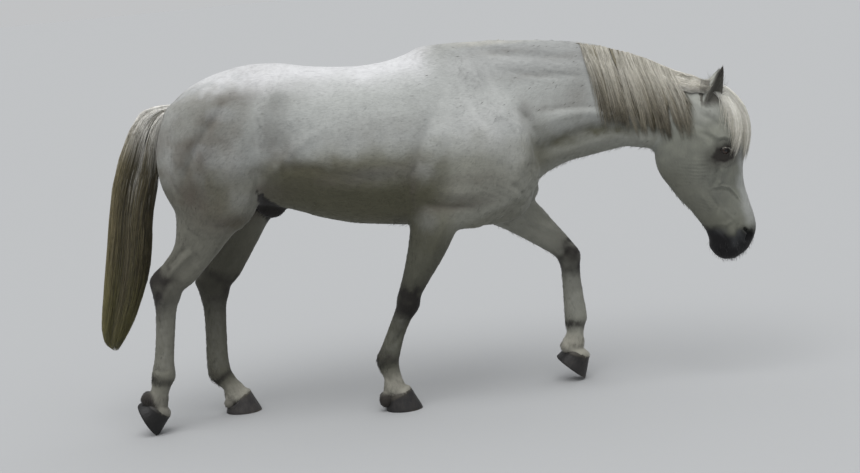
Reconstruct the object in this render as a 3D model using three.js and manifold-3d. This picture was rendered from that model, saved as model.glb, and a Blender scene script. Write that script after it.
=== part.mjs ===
// A grey riding pony of a stocky type, in a slow walk: a life-size still model.
// Millimetres, +Z up. +X runs towards the head and +Y to the pony's left. The floor is Z = 0.
//
// The flesh is a set of lofts. Each loft runs through named stations, and a station is a section of the
// body seen from the side: a point on its upper (or front) outline, a point on its lower (or rear) outline,
// and its half width. The lofts are joined into one body, which thin plane cuts part into the nodes that a
// person would name. The mane, forelock and tail grow from their nodes.
import * as THREE from "three";
import { mergeVertices } from "three/addons/utils/BufferGeometryUtils.js";
import Module from "manifold-3d";

const wasm = await Module();
wasm.setup();

// ---------------------------------------------------------------- driving sizes

const GAP = 0.3; // between two nodes that meet
const LEFT = 1;
const RIGHT = -1;

const TRUNK_SIDES = 26; // faces round the trunk
const TRUNK_RINGS = 31;
const NECK_SIDES = 22;
const HEAD_SIDES = 24;
const HEAD_RINGS = 29;
const LIMB_SIDES = 12;
const LIMB_RINGS = 23;

const EYE_RADIUS = 23;
const LID = 4.5; // thickness of the eyelids over the eye
const EYE = { x: 1206, z: 930, y: 84 }; // y is measured from the middle of the head

// ---------------------------------------------------------------- stations

// A section: upper outline point, lower outline point, half width, and its shape. y is the section's place
// across the body, wide the share of the way down at which it is widest, crown and keel the roundness above
// and below that (2 is an ellipse, less is peaked, more is square).
function section(top, low, half, { y = 0, wide = 0.5, crown = 2, keel = 2 } = {}) {
  return [...top, ...low, half, y, wide, crown, keel];
}

const TRUNK = [
  section([-1008, 1190], [-1008, 1085], 60),
  section([-990, 1262], [-990, 1010], 90, { wide: 0.45 }),
  section([-950, 1318], [-950, 960], 130, { wide: 0.45 }),
  section([-870, 1376], [-870, 905], 178, { wide: 0.42, crown: 1.9 }),
  section([-765, 1418], [-765, 872], 213, { wide: 0.4, crown: 1.9 }),
  section([-640, 1440], [-640, 866], 232, { wide: 0.4 }),
  section([-520, 1436], [-520, 842], 248, { wide: 0.44, crown: 2.1 }),
  section([-400, 1412], [-400, 796], 266, { wide: 0.5, crown: 2.2 }),
  section([-270, 1397], [-270, 762], 282, { wide: 0.53, crown: 2.2 }),
  section([-140, 1396], [-140, 744], 286, { wide: 0.55, crown: 2.1 }),
  section([-20, 1419], [-20, 730], 272, { wide: 0.57, crown: 1.9 }),
  section([90, 1463], [90, 716], 244, { wide: 0.6, crown: 1.6 }),
  section([190, 1472], [190, 704], 218, { wide: 0.62, crown: 1.5 }),
  section([290, 1440], [290, 700], 190, { wide: 0.62, crown: 1.6 }),
  section([380, 1330], [380, 716], 168, { wide: 0.55, keel: 2.3 }),
  section([440, 1200], [440, 770], 128, { wide: 0.5, keel: 2.3 }),
  section([466, 1080], [466, 850], 60, { wide: 0.5 }),
  section([486, 1000], [486, 920], 24, { wide: 0.5 }),
];

const NECK = [
  section([110, 1450], [360, 770], 206, { wide: 0.6, crown: 1.6 }),
  section([250, 1455], [455, 838], 182, { wide: 0.6, crown: 1.5 }),
  section([410, 1438], [522, 889], 148, { wide: 0.58, crown: 1.5 }),
  section([560, 1425], [610, 927], 116, { wide: 0.57, crown: 1.5 }),
  section([700, 1404], [715, 945], 95, { y: -4, wide: 0.56, crown: 1.5 }),
  section([820, 1367], [795, 959], 86, { y: -12, wide: 0.55, crown: 1.5 }),
  section([930, 1318], [850, 965], 82, { y: -24, wide: 0.54, crown: 1.55 }),
  section([1030, 1264], [905, 950], 82, { y: -38, wide: 0.52, crown: 1.6 }),
  section([1105, 1218], [975, 960], 80, { y: -48, wide: 0.5, crown: 1.7 }),
];

// The head, from the poll down the face to the lips. The first outline point is on the face, the second on
// the jaw.
const HEAD_Y = -58; // the head is carried a little to the right
const MUZZLE_Y = -74;
const HEAD = [
  section([1105, 1215], [1010, 1120], 50, { y: HEAD_Y }),
  section([1168, 1196], [958, 1035], 76, { y: HEAD_Y, crown: 2.2 }),
  section([1240, 1152], [938, 960], 93, { y: HEAD_Y, wide: 0.42, crown: 2.3 }),
  section([1292, 1084], [934, 896], 104, { y: HEAD_Y, wide: 0.38, crown: 2.4, keel: 1.9 }),
  section([1312, 1003], [952, 844], 109, { y: HEAD_Y, wide: 0.33, crown: 2.5, keel: 1.9 }),
  section([1307, 926], [986, 795], 105, { y: HEAD_Y, wide: 0.33, crown: 2.5, keel: 1.9 }),
  section([1293, 853], [1027, 745], 88, { y: HEAD_Y - 4, wide: 0.37, crown: 2.3 }),
  section([1290, 785], [1067, 695], 71, { y: HEAD_Y - 8, wide: 0.42, crown: 2.1 }),
  section([1300, 720], [1099, 650], 60, { y: HEAD_Y - 11, wide: 0.46, keel: 2.1 }),
  section([1312, 660], [1123, 612], 58, { y: HEAD_Y - 13, wide: 0.48, crown: 2.1, keel: 2.2 }),
  section([1316, 610], [1135, 575], 62, { y: MUZZLE_Y, wide: 0.46, crown: 2.3, keel: 2.2 }),
  section([1305, 565], [1142, 543], 61, { y: MUZZLE_Y, wide: 0.44, crown: 2.3, keel: 2.2 }),
  section([1283, 524], [1154, 513], 52, { y: MUZZLE_Y, wide: 0.45, crown: 2.2 }),
  section([1257, 497], [1172, 494], 36, { y: MUZZLE_Y }),
  section([1236, 484], [1192, 484], 12, { y: MUZZLE_Y }),
];

// Swellings and hollows of a surface: [x, y, z, reach along x, y and z, rise].
const TRUNK_SWELLINGS = [
  [-505, 230, 1340, 60, 80, 48, 15], // point of the hip
  [-955, 70, 1290, 45, 45, 60, -8], // beside the root of the tail
  [-545, 260, 1120, 55, 140, 120, -14], // hollow of the flank
  [-600, 240, 935, 45, 120, 60, 10], // fold of the flank
  [15, 250, 1010, 40, 150, 190, -9], // behind the shoulder
  [300, 190, 1290, 30, 90, 130, -8], // in front of the shoulder blade
  [215, 150, 1360, 30, 80, 70, 9], // spine of the shoulder blade
  [430, 120, 1010, 50, 80, 70, 12], // point of the shoulder
  [460, 0, 900, 60, 26, 110, -18], // between the breasts
  [-400, 282, 1010, 160, 90, 60, 6], // end of the ribs
];

const NECK_SWELLINGS = [
  [560, 110, 1010, 170, 60, 28, -9], // groove of the windpipe, along the lower neck
  [800, 90, 1035, 120, 60, 26, -8],
  [560, 110, 1100, 190, 60, 42, 8], // the long muscle above the groove
  [640, 100, 1300, 200, 70, 60, 6], // under the crest
];

const HEAD_SWELLINGS = [
  [1050, 98, 945, 85, 70, 85, 12], // cheek
  [1215, 92, 985, 34, 50, 20, 9], // brow
  [1180, 84, 1035, 30, 50, 28, -8], // hollow above the eye
  [1208, 90, 872, 18, 50, 28, 7], // bony crest of the face
  [1190, 74, 812, 18, 50, 42, 8],
  [1120, 78, 800, 40, 50, 40, -6], // below the cheek
  [1256, 50, 770, 30, 40, 60, -5], // beside the nose
  [1289, 44, 598, 22, 26, 34, 10], // rim of the nostril
  [1262, 50, 532, 30, 40, 22, 5], // upper lip
  [1172, 40, 520, 24, 40, 20, 6], // lower lip
  [1146, 0, 540, 26, 40, 22, 7], // chin
];

// The thigh and the shoulder lie over the trunk. shift moves them forward, the lower the more, as the leg
// does.
function haunch(side, shift) {
  const at = (front, back, half, y, share) =>
    section([front[0] + shift * share, front[1]], [back[0] + shift * share, back[1]], half, { y: side * y });
  return [
    at([-620, 1400], [-850, 1376], 40, 95, 0),
    at([-548, 1345], [-955, 1305], 92, 120, 0),
    at([-512, 1235], [-1000, 1212], 116, 136, 0.1),
    at([-520, 1105], [-1012, 1110], 124, 142, 0.3),
    at([-562, 990], [-1001, 1015], 114, 140, 0.6),
    at([-622, 905], [-984, 940], 106, 134, 0.9),
    at([-648, 850], [-968, 885], 96, 132, 1),
    at([-690, 798], [-952, 820], 56, 128, 1),
  ];
}

function shoulder(side, shift) {
  const at = (front, back, half, y, share) =>
    section([front[0] + shift * share, front[1]], [back[0] + shift * share, back[1]], half, { y: side * y });
  return [
    at([268, 1395], [108, 1388], 46, 34, 0),
    at([360, 1300], [62, 1290], 98, 62, 0),
    at([442, 1160], [24, 1150], 134, 84, 0),
    at([482, 1010], [-6, 1010], 148, 92, 0.1),
    at([482, 890], [-20, 895], 138, 96, 0.4),
    at([430, 805], [-2, 815], 108, 98, 0.8),
    at([330, 752], [12, 765], 82, 104, 1),
    at([230, 712], [24, 725], 46, 112, 1),
  ];
}

// Sections along a leg: bone, share of the way down it, reach in front of and behind the bone, half width,
// squareness.
const FORE = [
  [0, 0.0, 75, 80, 44],
  [0, 0.5, 98, 108, 72, 2.4],
  [1, 0.0, 96, 104, 72, 2.4],
  [1, 0.2, 88, 82, 62, 2.2],
  [1, 0.45, 74, 64, 51],
  [1, 0.72, 56, 53, 41],
  [1, 0.88, 48, 49, 39],
  [2, 0.0, 48, 49, 44],
  [2, 0.12, 43, 46, 42],
  [2, 0.28, 32, 41, 29],
  [2, 0.55, 29, 41, 25],
  [2, 0.82, 34, 44, 29],
  [3, 0.0, 44, 52, 37],
  [3, 0.3, 38, 48, 33],
  [3, 0.65, 37, 38, 31],
  [3, 1.0, 47, 44, 44],
  [4, 0.25, 52, 46, 48],
];
const HIND = [
  [0, 0.0, 190, 195, 86, 2.4],
  [0, 0.5, 190, 210, 108, 2.6],
  [1, 0.0, 168, 196, 104, 2.6],
  [1, 0.18, 134, 164, 92, 2.4],
  [1, 0.4, 104, 108, 68, 2.1],
  [1, 0.62, 82, 58, 48],
  [1, 0.82, 66, 52, 38],
  [1, 0.94, 60, 70, 38],
  [2, 0.03, 55, 76, 43],
  [2, 0.13, 50, 62, 43],
  [2, 0.27, 38, 47, 33],
  [2, 0.5, 34, 43, 28],
  [2, 0.82, 37, 46, 31],
  [3, 0.0, 45, 54, 38],
  [3, 0.3, 39, 49, 34],
  [3, 0.65, 37, 39, 31],
  [3, 1.0, 47, 45, 44],
  [4, 0.25, 52, 47, 48],
];

// The joints of each leg in the walk, as [x, z, y], from inside the trunk down to the middle of the hoof's
// crown and on to the middle of the sole. tilt turns the hoof toe down, in degrees. sole is the point under
// the hoof's middle.
const LEGS = [
  {
    name: "foreleg_right",
    side: RIGHT,
    profile: FORE,
    joints: [
      [110, 930, 126],
      [48, 780, 124],
      [-92, 440, 106],
      [-190, 212, 98],
      [-176, 96, 96],
      [-160, 0, 96],
    ],
    sole: [-152, 0],
    tilt: 0,
    upperCut: { share: 0.27, reach: 100 },
  },
  {
    name: "foreleg_left",
    side: LEFT,
    profile: FORE,
    joints: [
      [250, 880, 126],
      [330, 770, 124],
      [574, 535, 120],
      [590, 258, 118],
      [572, 158, 118],
      [545, 70, 118],
    ],
    sole: [546, 50],
    tilt: 44,
    upperCut: { share: 0.3, reach: 115 },
  },
  {
    name: "hindleg_right",
    side: RIGHT,
    profile: HIND,
    joints: [
      [-745, 1070, 130],
      [-792, 905, 132],
      [-1036, 608, 122],
      [-1090, 240, 118],
      [-1132, 138, 118],
      [-1172, 70, 118],
    ],
    sole: [-1184, 65.5],
    tilt: 63,
    upperCut: { share: 0.25, reach: 200 },
  },
  {
    name: "hindleg_left",
    side: LEFT,
    profile: HIND,
    joints: [
      [-690, 1060, 130],
      [-704, 888, 132],
      [-878, 560, 122],
      [-908, 184, 118],
      [-850, 96, 118],
      [-830, 0, 118],
    ],
    sole: [-826, 0],
    tilt: 0,
    upperCut: { share: 0.2, reach: 200 },
  },
];

// A hoof in its own frame: x to the toe, z up from the sole's middle.
const HOOF = [
  section([18, 108], [-40, 80], 34),
  section([38, 86], [-54, 50], 46),
  section([56, 52], [-63, 30], 54),
  section([75, 14], [-69, 7], 61),
  section([80, 0], [-67, 0], 61),
];

// The front and heel of the hoof's upper edge, where the skin of the leg ends.
const CROWN = [[38, 84], [-54, 48]];

// An ear in its own frame: z from its root to its tip, x the way that its cup opens.
const EAR = [
  section([13, -34], [-15, -34], 15),
  section([18, -8], [-21, -8], 23),
  section([21, 24], [-25, 24], 30),
  section([20, 58], [-26, 58], 33),
  section([15, 92], [-22, 92], 28),
  section([8, 122], [-14, 122], 18),
  section([1, 146], [-5, 146], 7),
  section([-1, 154], [-3, 154], 2),
];
const EAR_CUP = [
  section([24, 2], [4, 8], 10),
  section([34, 26], [-8, 26], 20),
  section([34, 58], [-14, 58], 26),
  section([28, 92], [-13, 92], 22),
  section([18, 120], [-7, 120], 13),
  section([9, 142], [1, 142], 4),
];
const EAR_ROOT = [1174, 60, 1118]; // y is measured from the middle of the head
const EAR_LEAN = [0.34, 0.17, 0.92]; // the way from root to tip; y is outwards
const EAR_OPENS = [0.5, 0.86, -0.05];

// The tail, from the dock to the tips: outer (rear) outline, inner outline, half width.
const TAIL = [
  section([-935, 1322], [-930, 1268], 24),
  section([-992, 1322], [-975, 1250], 34),
  section([-1056, 1309], [-1003, 1205], 44),
  section([-1113, 1253], [-1024, 1130], 54),
  section([-1167, 1158], [-1040, 1040], 64),
  section([-1216, 1043], [-1066, 945], 74),
  section([-1250, 911], [-1085, 855], 80),
  section([-1273, 789], [-1098, 762], 82),
  section([-1303, 650], [-1124, 642], 78),
  section([-1330, 518], [-1166, 538], 68),
  section([-1348, 420], [-1222, 425], 48),
  section([-1337, 362], [-1270, 358], 24),
  section([-1306, 334], [-1294, 332], 6),
];

// Where one plane parts the head from the neck, and one the neck from the trunk: a point of the plane in
// the XZ plane, and the way to the part that comes off.
const HEAD_CUT = { at: [1005, 1085], direction: [0.868, -0.496], reach: 640, length: 900 };
const NECK_CUT = { at: [400, 1137], direction: [0.974, 0.225], reach: 345, length: 900 };

const ALMOND = { reach: 23, apart: 9.5, tilt: 0.36 }; // the opening of the lids
const MOUTH = { from: [1210, 474], to: [1164, 610], open: 4, deep: 13 }; // from the lips to the corners

// Long hair grows in flat locks. width and thick are a lock's greatest ones, in millimetres.
const HAIR_CLEARANCE = 0.4; // between a lock and a node that it doesn't grow from
const LOCK_STEP = 52; // the length of a lock between two of its sections, which number 5 to 8

// The mane, by side: the place of each root along the crest is x, and at the listed places its tip is so
// far down and so far forward of its root.
const MANES = [
  {
    side: RIGHT,
    from: 640,
    to: 1012,
    layers: 2,
    spacing: 43,
    width: 38,
    thick: 8,
    drop: [[640, 250], [695, 315], [860, 325], [920, 285], [990, 265], [1030, 200], [1070, 120]],
    drift: [[640, 98], [695, 68], [809, 84], [880, 98], [920, 95], [990, 80], [1070, 60]],
  },
  {
    side: LEFT,
    from: 352,
    to: 680,
    layers: 2,
    spacing: 46,
    width: 41,
    thick: 8,
    drop: [[352, 120], [420, 190], [560, 225], [640, 180], [680, 110]],
    drift: [[352, 30], [680, 20]],
  },
];

// The hair behind the poll is swept forward along the crest to the root of the ear.
const SWEEP = { from: [972, 1268], to: [1146, 1168], locks: 4, apart: 20, bow: 12, width: 23, thick: 9 };

// The forelock falls from between the ears to below the eyes. place counts the head's stations.
const FORELOCK = {
  from: 0.9,
  locks: 6,
  layers: 2,
  spread: 0.66,
  lift: 17,
  size: { width: 26, thick: 8, root: 0.3, full: 0.7 },
};

// The tail's locks, in tiers from the outermost down to those in the middle. root and tip count the tail's
// stations, and depth is how far out a lock lies in its upper and in its lower part.
const TAIL_TIERS = [
  { root: 0.7, tip: 7.2, around: 8, depth: [1, 0.98], rises: 0, sway: 0.1, width: 40, full: 0.45 },
  { root: 1.9, tip: 9.6, around: 9, depth: [0.8, 1], rises: 0.7, sway: 0.07, width: 40, full: 0.35 },
  { root: 3.3, tip: 11.5, around: 9, depth: [0.6, 0.99], rises: 0.78, sway: 0.04, width: 33, full: 0.2 },
];
const TAIL_LOCK_THICK = 9;
// The fleshy core of the tail: the station where it ends, and its share of the tail's whole width.
const DOCK = { to: 5.8, share: 0.6 };

// ---------------------------------------------------------------- lofts

// Catmull-Rom through the stations' numbers, at a place counted in stations.
function between(stations, place) {
  const last = stations.length - 1;
  const i = Math.min(Math.floor(place), last - 1);
  const t = place - i;
  const [a, b, c, d] = [i - 1, i, i + 1, i + 2].map((k) => stations[Math.min(Math.max(k, 0), last)]);
  return b.map((value, n) => {
    const slopeIn = (c[n] - a[n]) / 2;
    const slopeOut = (d[n] - b[n]) / 2;
    const rise = c[n] - b[n];
    const cubic = slopeIn + slopeOut - 2 * rise;
    return value + slopeIn * t + (rise - slopeIn - cubic) * t ** 2 + cubic * t ** 3;
  });
}

const power = (value, exponent) => Math.sign(value) * Math.abs(value) ** exponent;

// One point of a section: the section's middle, the way out from it, and how far out the skin is.
function spoke([topX, topZ, lowX, lowZ, half, y, wide, crown, keel], angle) {
  const depth = Math.hypot(topX - lowX, topZ - lowZ);
  const up = new THREE.Vector3((topX - lowX) / depth, 0, (topZ - lowZ) / depth);
  const middle = new THREE.Vector3(topX, y, topZ).addScaledVector(up, -wide * depth);
  const above = Math.sin(angle) >= 0;
  const round = 2 / (above ? crown : keel);
  const rise = power(Math.sin(angle), round) * depth * (above ? wide : 1 - wide);
  const out = up.multiplyScalar(rise);
  out.y += power(Math.cos(angle), round) * half;
  const reach = out.length();
  return { middle, out: out.normalize(), reach };
}

// The spokes of a loft, ring by ring.
function spokes(stations, { rings, sides }) {
  return Array.from({ length: rings + 1 }, (_, ring) => {
    const numbers = between(stations, ((stations.length - 1) * ring) / rings);
    return Array.from({ length: sides }, (_, k) => spoke(numbers, (2 * Math.PI * k) / sides));
  });
}

// How far the listed swellings lift the skin at a point.
function swelling(point, swellings, middleY) {
  let rise = 0;
  for (const [x, y, z, reachX, reachY, reachZ, height] of swellings) {
    const across = (Math.abs(point.y - middleY) - y) / reachY;
    const far = ((point.x - x) / reachX) ** 2 + across ** 2 + ((point.z - z) / reachZ) ** 2;
    rise += height * Math.exp(-far);
  }
  return rise;
}

// A closed surface over the ends of the spokes. grow lifts the whole of it.
function skin(rows, { swellings = [], middleY = 0, grow = 0 } = {}) {
  const sides = rows[0].length;
  const positions = [];
  const faces = [];
  for (const row of rows) {
    for (const { middle, out, reach } of row) {
      const point = middle.clone().addScaledVector(out, reach);
      point.addScaledVector(out, swelling(point, swellings, middleY) + grow);
      positions.push(...point.toArray());
    }
  }
  for (let r = 0; r < rows.length - 1; r++) {
    for (let k = 0; k < sides; k++) {
      const a = r * sides + k;
      const b = r * sides + ((k + 1) % sides);
      faces.push(a, b, a + sides, b, b + sides, a + sides);
    }
  }
  for (const ring of [0, rows.length - 1]) {
    const hub = positions.length / 3;
    const centre = rows[ring][0].middle.clone();
    const along = centre.clone().sub(rows[ring ? ring - 1 : 1][0].middle).normalize();
    positions.push(...centre.addScaledVector(along, grow).toArray());
    for (let k = 0; k < sides; k++) {
      const a = ring * sides + k;
      const b = ring * sides + ((k + 1) % sides);
      faces.push(...(ring ? [hub, a, b] : [hub, b, a]));
    }
  }
  const geometry = new THREE.BufferGeometry();
  geometry.setAttribute("position", new THREE.Float32BufferAttribute(positions, 3));
  geometry.setIndex(faces);
  return geometry;
}

const loft = (stations, { rings, sides, ...shape }) => skin(spokes(stations, { rings, sides }), shape);

// A loft drawn out to cover the geometries that lie over it, with the steps between them softened.
function cover(stations, lying, { rings, sides, softening, ...shape }) {
  const rows = spokes(stations, { rings, sides });
  const material = new THREE.MeshBasicMaterial({ side: THREE.DoubleSide });
  const meshes = lying.map((geometry) => new THREE.Mesh(geometry, material));
  const ray = new THREE.Raycaster();
  for (const row of rows) {
    for (const one of row) {
      ray.set(one.middle, one.out);
      const far = ray.intersectObjects(meshes).map((hit) => hit.distance);
      one.reach = Math.max(one.reach, ...far);
    }
  }
  for (let pass = 0; pass < softening; pass++) {
    const before = rows.map((row) => row.map((one) => one.reach));
    rows.forEach((row, r) =>
      row.forEach((one, k) => {
        const ahead = before[Math.min(r + 1, rings)][k];
        const behind = before[Math.max(r - 1, 0)][k];
        const beside = before[r][(k + 1) % sides] + before[r][(k + sides - 1) % sides];
        one.reach = before[r][k] / 2 + (ahead + behind + beside) / 8;
      }),
    );
  }
  return skin(rows, shape);
}

// ---------------------------------------------------------------- solids

// A three.js geometry as a closed solid that faces outwards.
function solid(geometry, matrix = null) {
  const shape = geometry.clone();
  shape.deleteAttribute("normal");
  shape.deleteAttribute("uv");
  if (matrix) shape.applyMatrix4(matrix);
  const merged = mergeVertices(shape, 1e-3);
  const vertProperties = merged.attributes.position.array;
  const make = (triVerts) => new wasm.Manifold(new wasm.Mesh({ numProp: 3, vertProperties, triVerts }));
  const made = make(new Uint32Array(merged.index.array));
  return made.volume() > 0 ? made : make(new Uint32Array(merged.index.array).reverse());
}

const join = (pieces) => pieces.reduce((whole, piece) => whole.add(piece));

// The largest closed surface of a solid.
function largest(made) {
  return made.decompose().reduce((best, piece) => (piece.volume() > best.volume() ? piece : best));
}

function ballGeometry(centre, reach, { turn = new THREE.Euler(), detail = [12, 8] } = {}) {
  const matrix = new THREE.Matrix4().compose(
    new THREE.Vector3(...centre),
    new THREE.Quaternion().setFromEuler(turn),
    new THREE.Vector3(...reach),
  );
  return new THREE.SphereGeometry(1, ...detail).applyMatrix4(matrix);
}

const ball = (...shape) => solid(ballGeometry(...shape));

// A box that starts at a point of the XZ plane and runs on in a direction: what it holds is one side of a
// cut. reach is how far it runs to either side of that direction, and from and to are its limits across the
// body.
function beyond([x, z], [dirX, dirZ], { length = 1500, reach, from = -600, to = 600, back = 0 }) {
  const angle = Math.atan2(dirZ, dirX);
  const box = new THREE.BoxGeometry(length + back, to - from, 2 * reach);
  box.translate((length - back) / 2, (from + to) / 2, 0);
  return solid(box, new THREE.Matrix4().makeRotationY(-angle).setPosition(x, 0, z));
}

// Parts a body with one cut: the piece beyond the cut, and the rest, with the gap between them.
function part(body, at, direction, limits) {
  const piece = largest(body.intersect(beyond(at, direction, limits)));
  const rest = largest(body.subtract(beyond(at, direction, { ...limits, back: GAP })));
  return [piece, rest];
}

function toGeometry(made) {
  const mesh = made.getMesh();
  const geometry = new THREE.BufferGeometry();
  geometry.setAttribute("position", new THREE.BufferAttribute(new Float32Array(mesh.vertProperties), 3));
  geometry.setIndex(new THREE.BufferAttribute(new Uint32Array(mesh.triVerts), 1));
  geometry.computeVertexNormals();
  return geometry;
}

// ---------------------------------------------------------------- legs

// The way a leg runs at a section: along its bone, turning evenly from bone to bone near each joint.
function legDirection(joints, bone, share) {
  const turn = 0.25; // share of a bone in which the turn takes place
  const along = (k) => {
    const i = Math.min(Math.max(k, 0), joints.length - 2);
    return new THREE.Vector2(joints[i + 1][0] - joints[i][0], joints[i + 1][1] - joints[i][1]).normalize();
  };
  const before = Math.max(0, 0.5 - share / (2 * turn));
  const after = Math.max(0, 0.5 - (1 - share) / (2 * turn));
  const direction = along(bone).multiplyScalar(1 - before - after);
  direction.addScaledVector(along(bone - 1), before).addScaledVector(along(bone + 1), after);
  return direction.normalize();
}

function legStations({ joints, profile, side }) {
  return profile.map(([bone, share, front, back, half, square = 2]) => {
    const [x, z, y] = joints[bone].map((value, n) => value + (joints[bone + 1][n] - value) * share);
    const run = legDirection(joints, bone, share);
    const ahead = [-run.y, run.x];
    const frontPoint = [x + ahead[0] * front, z + ahead[1] * front];
    const backPoint = [x - ahead[0] * back, z - ahead[1] * back];
    return section(frontPoint, backPoint, half, { y: side * y, crown: square, keel: square });
  });
}

function hoofSolid({ sole, tilt, joints, side }) {
  const [x, z] = sole;
  const matrix = new THREE.Matrix4().makeRotationY(THREE.MathUtils.degToRad(tilt));
  matrix.setPosition(x, side * joints.at(-1)[2], z);
  const floor = beyond([0, 0], [0, -1], { length: 200, reach: 3000 });
  const bulbs = solid(ballGeometry([-30, 0, 60], [38, 45, 30], { detail: [9, 6] }), matrix);
  return solid(loft(HOOF, { rings: 4, sides: 14 }), matrix).add(bulbs).subtract(floor);
}

// A point of the XZ plane turned toe down by tilt degrees.
function turned([x, z], tilt) {
  const turn = THREE.MathUtils.degToRad(tilt);
  return [x * Math.cos(turn) + z * Math.sin(turn), z * Math.cos(turn) - x * Math.sin(turn)];
}

const legSolid = (leg) => solid(loft(legStations(leg), { rings: LIMB_RINGS, sides: LIMB_SIDES }));

// ---------------------------------------------------------------- the flesh as one body

const breast = (side) => ballGeometry([378, side * 70, 862], [82, 74, 122], { detail: [16, 10] });
const overTrunk = [
  loft(haunch(RIGHT, 0), { rings: 16, sides: 24 }),
  loft(haunch(LEFT, 55), { rings: 16, sides: 24 }),
  loft(shoulder(RIGHT, 0), { rings: 16, sides: 24 }),
  loft(shoulder(LEFT, 110), { rings: 16, sides: 24 }),
  breast(RIGHT),
  breast(LEFT),
];
const trunkShape = { rings: TRUNK_RINGS, sides: TRUNK_SIDES, softening: 3, swellings: TRUNK_SWELLINGS };
const neckShape = { rings: 20, sides: NECK_SIDES, swellings: NECK_SWELLINGS };
const headShape = { rings: HEAD_RINGS, sides: HEAD_SIDES, swellings: HEAD_SWELLINGS, middleY: HEAD_Y };
const trunkSkin = cover(TRUNK, overTrunk, trunkShape);
const neckSkin = loft(NECK, neckShape);
const headSkin = loft(HEAD, headShape);

const sheath = () => ball([-560, 0, 868], [88, 42, 44]);

let body = join([
  solid(trunkSkin),
  solid(neckSkin),
  solid(headSkin),
  ...LEGS.map(legSolid),
  ...LEGS.map(hoofSolid),
  sheath(),
]);

// ---------------------------------------------------------------- parted into nodes

const nodes = {};

[nodes.head, body] = part(body, HEAD_CUT.at, HEAD_CUT.direction, HEAD_CUT);
[nodes.neck, body] = part(body, NECK_CUT.at, NECK_CUT.direction, NECK_CUT);

for (const { name, side, joints, upperCut, sole, tilt } of LEGS) {
  const outside = side > 0 ? { from: 25, to: 600 } : { from: -600, to: -25 };
  const [top, knee] = [joints[1].slice(0, 2), joints[2].slice(0, 2)];
  const bone = [knee[0] - top[0], knee[1] - top[1]];
  const start = [top[0] + bone[0] * upperCut.share, top[1] + bone[1] * upperCut.share];
  const bend = legDirection(joints, 2, 0);
  const below = [[bend.x, bend.y], { ...outside, reach: 270 }];
  const whole = (back) =>
    beyond(start, bone, { ...outside, reach: upperCut.reach, length: Math.hypot(...bone), back }).add(
      beyond(knee, ...below),
    );
  const limb = largest(body.intersect(whole(0)));
  body = largest(body.subtract(whole(GAP)));
  let lower;
  [lower, nodes[`${name}_upper`]] = part(limb, knee, ...below);
  // The hoof parts from the skin along the crown.
  const [front, heel] = CROWN.map((point) => turned(point, tilt));
  const middle = [(front[0] + heel[0]) / 2 + sole[0], (front[1] + heel[1]) / 2 + sole[1]];
  const down = [front[1] - heel[1], heel[0] - front[0]];
  const crownCut = { ...outside, reach: 150, length: 250 };
  [nodes[`${name}_hoof`], nodes[`${name}_lower`]] = part(lower, middle, down, crownCut);
}
nodes.torso = body;

// ---------------------------------------------------------------- head: eyes, ears, nostrils and mouth

let earsGrown = null; // the room that the ears and the eyes take, which hair keeps clear of
let eyesGrown = null;
for (const [side, word] of [[LEFT, "left"], [RIGHT, "right"]]) {
  const eyeAt = [EYE.x, HEAD_Y + side * EYE.y, EYE.z];
  const lids = ball(eyeAt, Array(3).fill(EYE_RADIUS + LID));
  const socket = ball(eyeAt, Array(3).fill(EYE_RADIUS + GAP));
  // The lids open in an almond, where two discs overlap; its front corner is the lower one.
  const disc = (sign) =>
    ball(
      [
        eyeAt[0] + sign * ALMOND.apart * Math.sin(ALMOND.tilt),
        eyeAt[1] + side * 30,
        eyeAt[2] + sign * ALMOND.apart * Math.cos(ALMOND.tilt),
      ],
      [ALMOND.reach, 34, ALMOND.reach],
    );
  const opening = disc(1).intersect(disc(-1));
  nodes[`eye_${word}`] = ball(eyeAt, Array(3).fill(EYE_RADIUS));
  nodes.head = nodes.head.add(lids).subtract(socket).subtract(opening);

  const up = new THREE.Vector3(EAR_LEAN[0], side * EAR_LEAN[1], EAR_LEAN[2]).normalize();
  const open = new THREE.Vector3(EAR_OPENS[0], side * EAR_OPENS[1], EAR_OPENS[2]);
  open.addScaledVector(up, -open.dot(up)).normalize();
  const across = up.clone().cross(open);
  const matrix = new THREE.Matrix4().makeBasis(open, across, up);
  matrix.setPosition(EAR_ROOT[0], HEAD_Y + side * EAR_ROOT[1], EAR_ROOT[2]);
  const shell = solid(loft(EAR, { rings: 8, sides: 11 }), matrix);
  const cup = solid(loft(EAR_CUP, { rings: 6, sides: 9 }), matrix);
  const earRoom = solid(loft(EAR, { rings: 8, sides: 11, grow: HAIR_CLEARANCE }), matrix);
  const eyeRoom = ball(eyeAt, Array(3).fill(EYE_RADIUS + LID + HAIR_CLEARANCE));
  earsGrown = earsGrown ? earsGrown.add(earRoom) : earRoom;
  eyesGrown = eyesGrown ? eyesGrown.add(eyeRoom) : eyeRoom;
  const overHead = solid(loft(HEAD, { ...headShape, grow: GAP }));
  nodes[`ear_${word}`] = largest(shell.subtract(cup).subtract(overHead));

  const nostril = ball([1287, MUZZLE_Y + side * 51, 590], [12, 17, 21], {
    turn: new THREE.Euler(0, 0.3, side * -0.5),
    detail: [10, 6],
  });
  const nostrilTop = ball([1275, MUZZLE_Y + side * 50, 612], [8, 13, 15], {
    turn: new THREE.Euler(0, -0.5, 0),
    detail: [8, 5],
  });
  nodes.head = nodes.head.subtract(nostril).subtract(nostrilTop);
}

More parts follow.
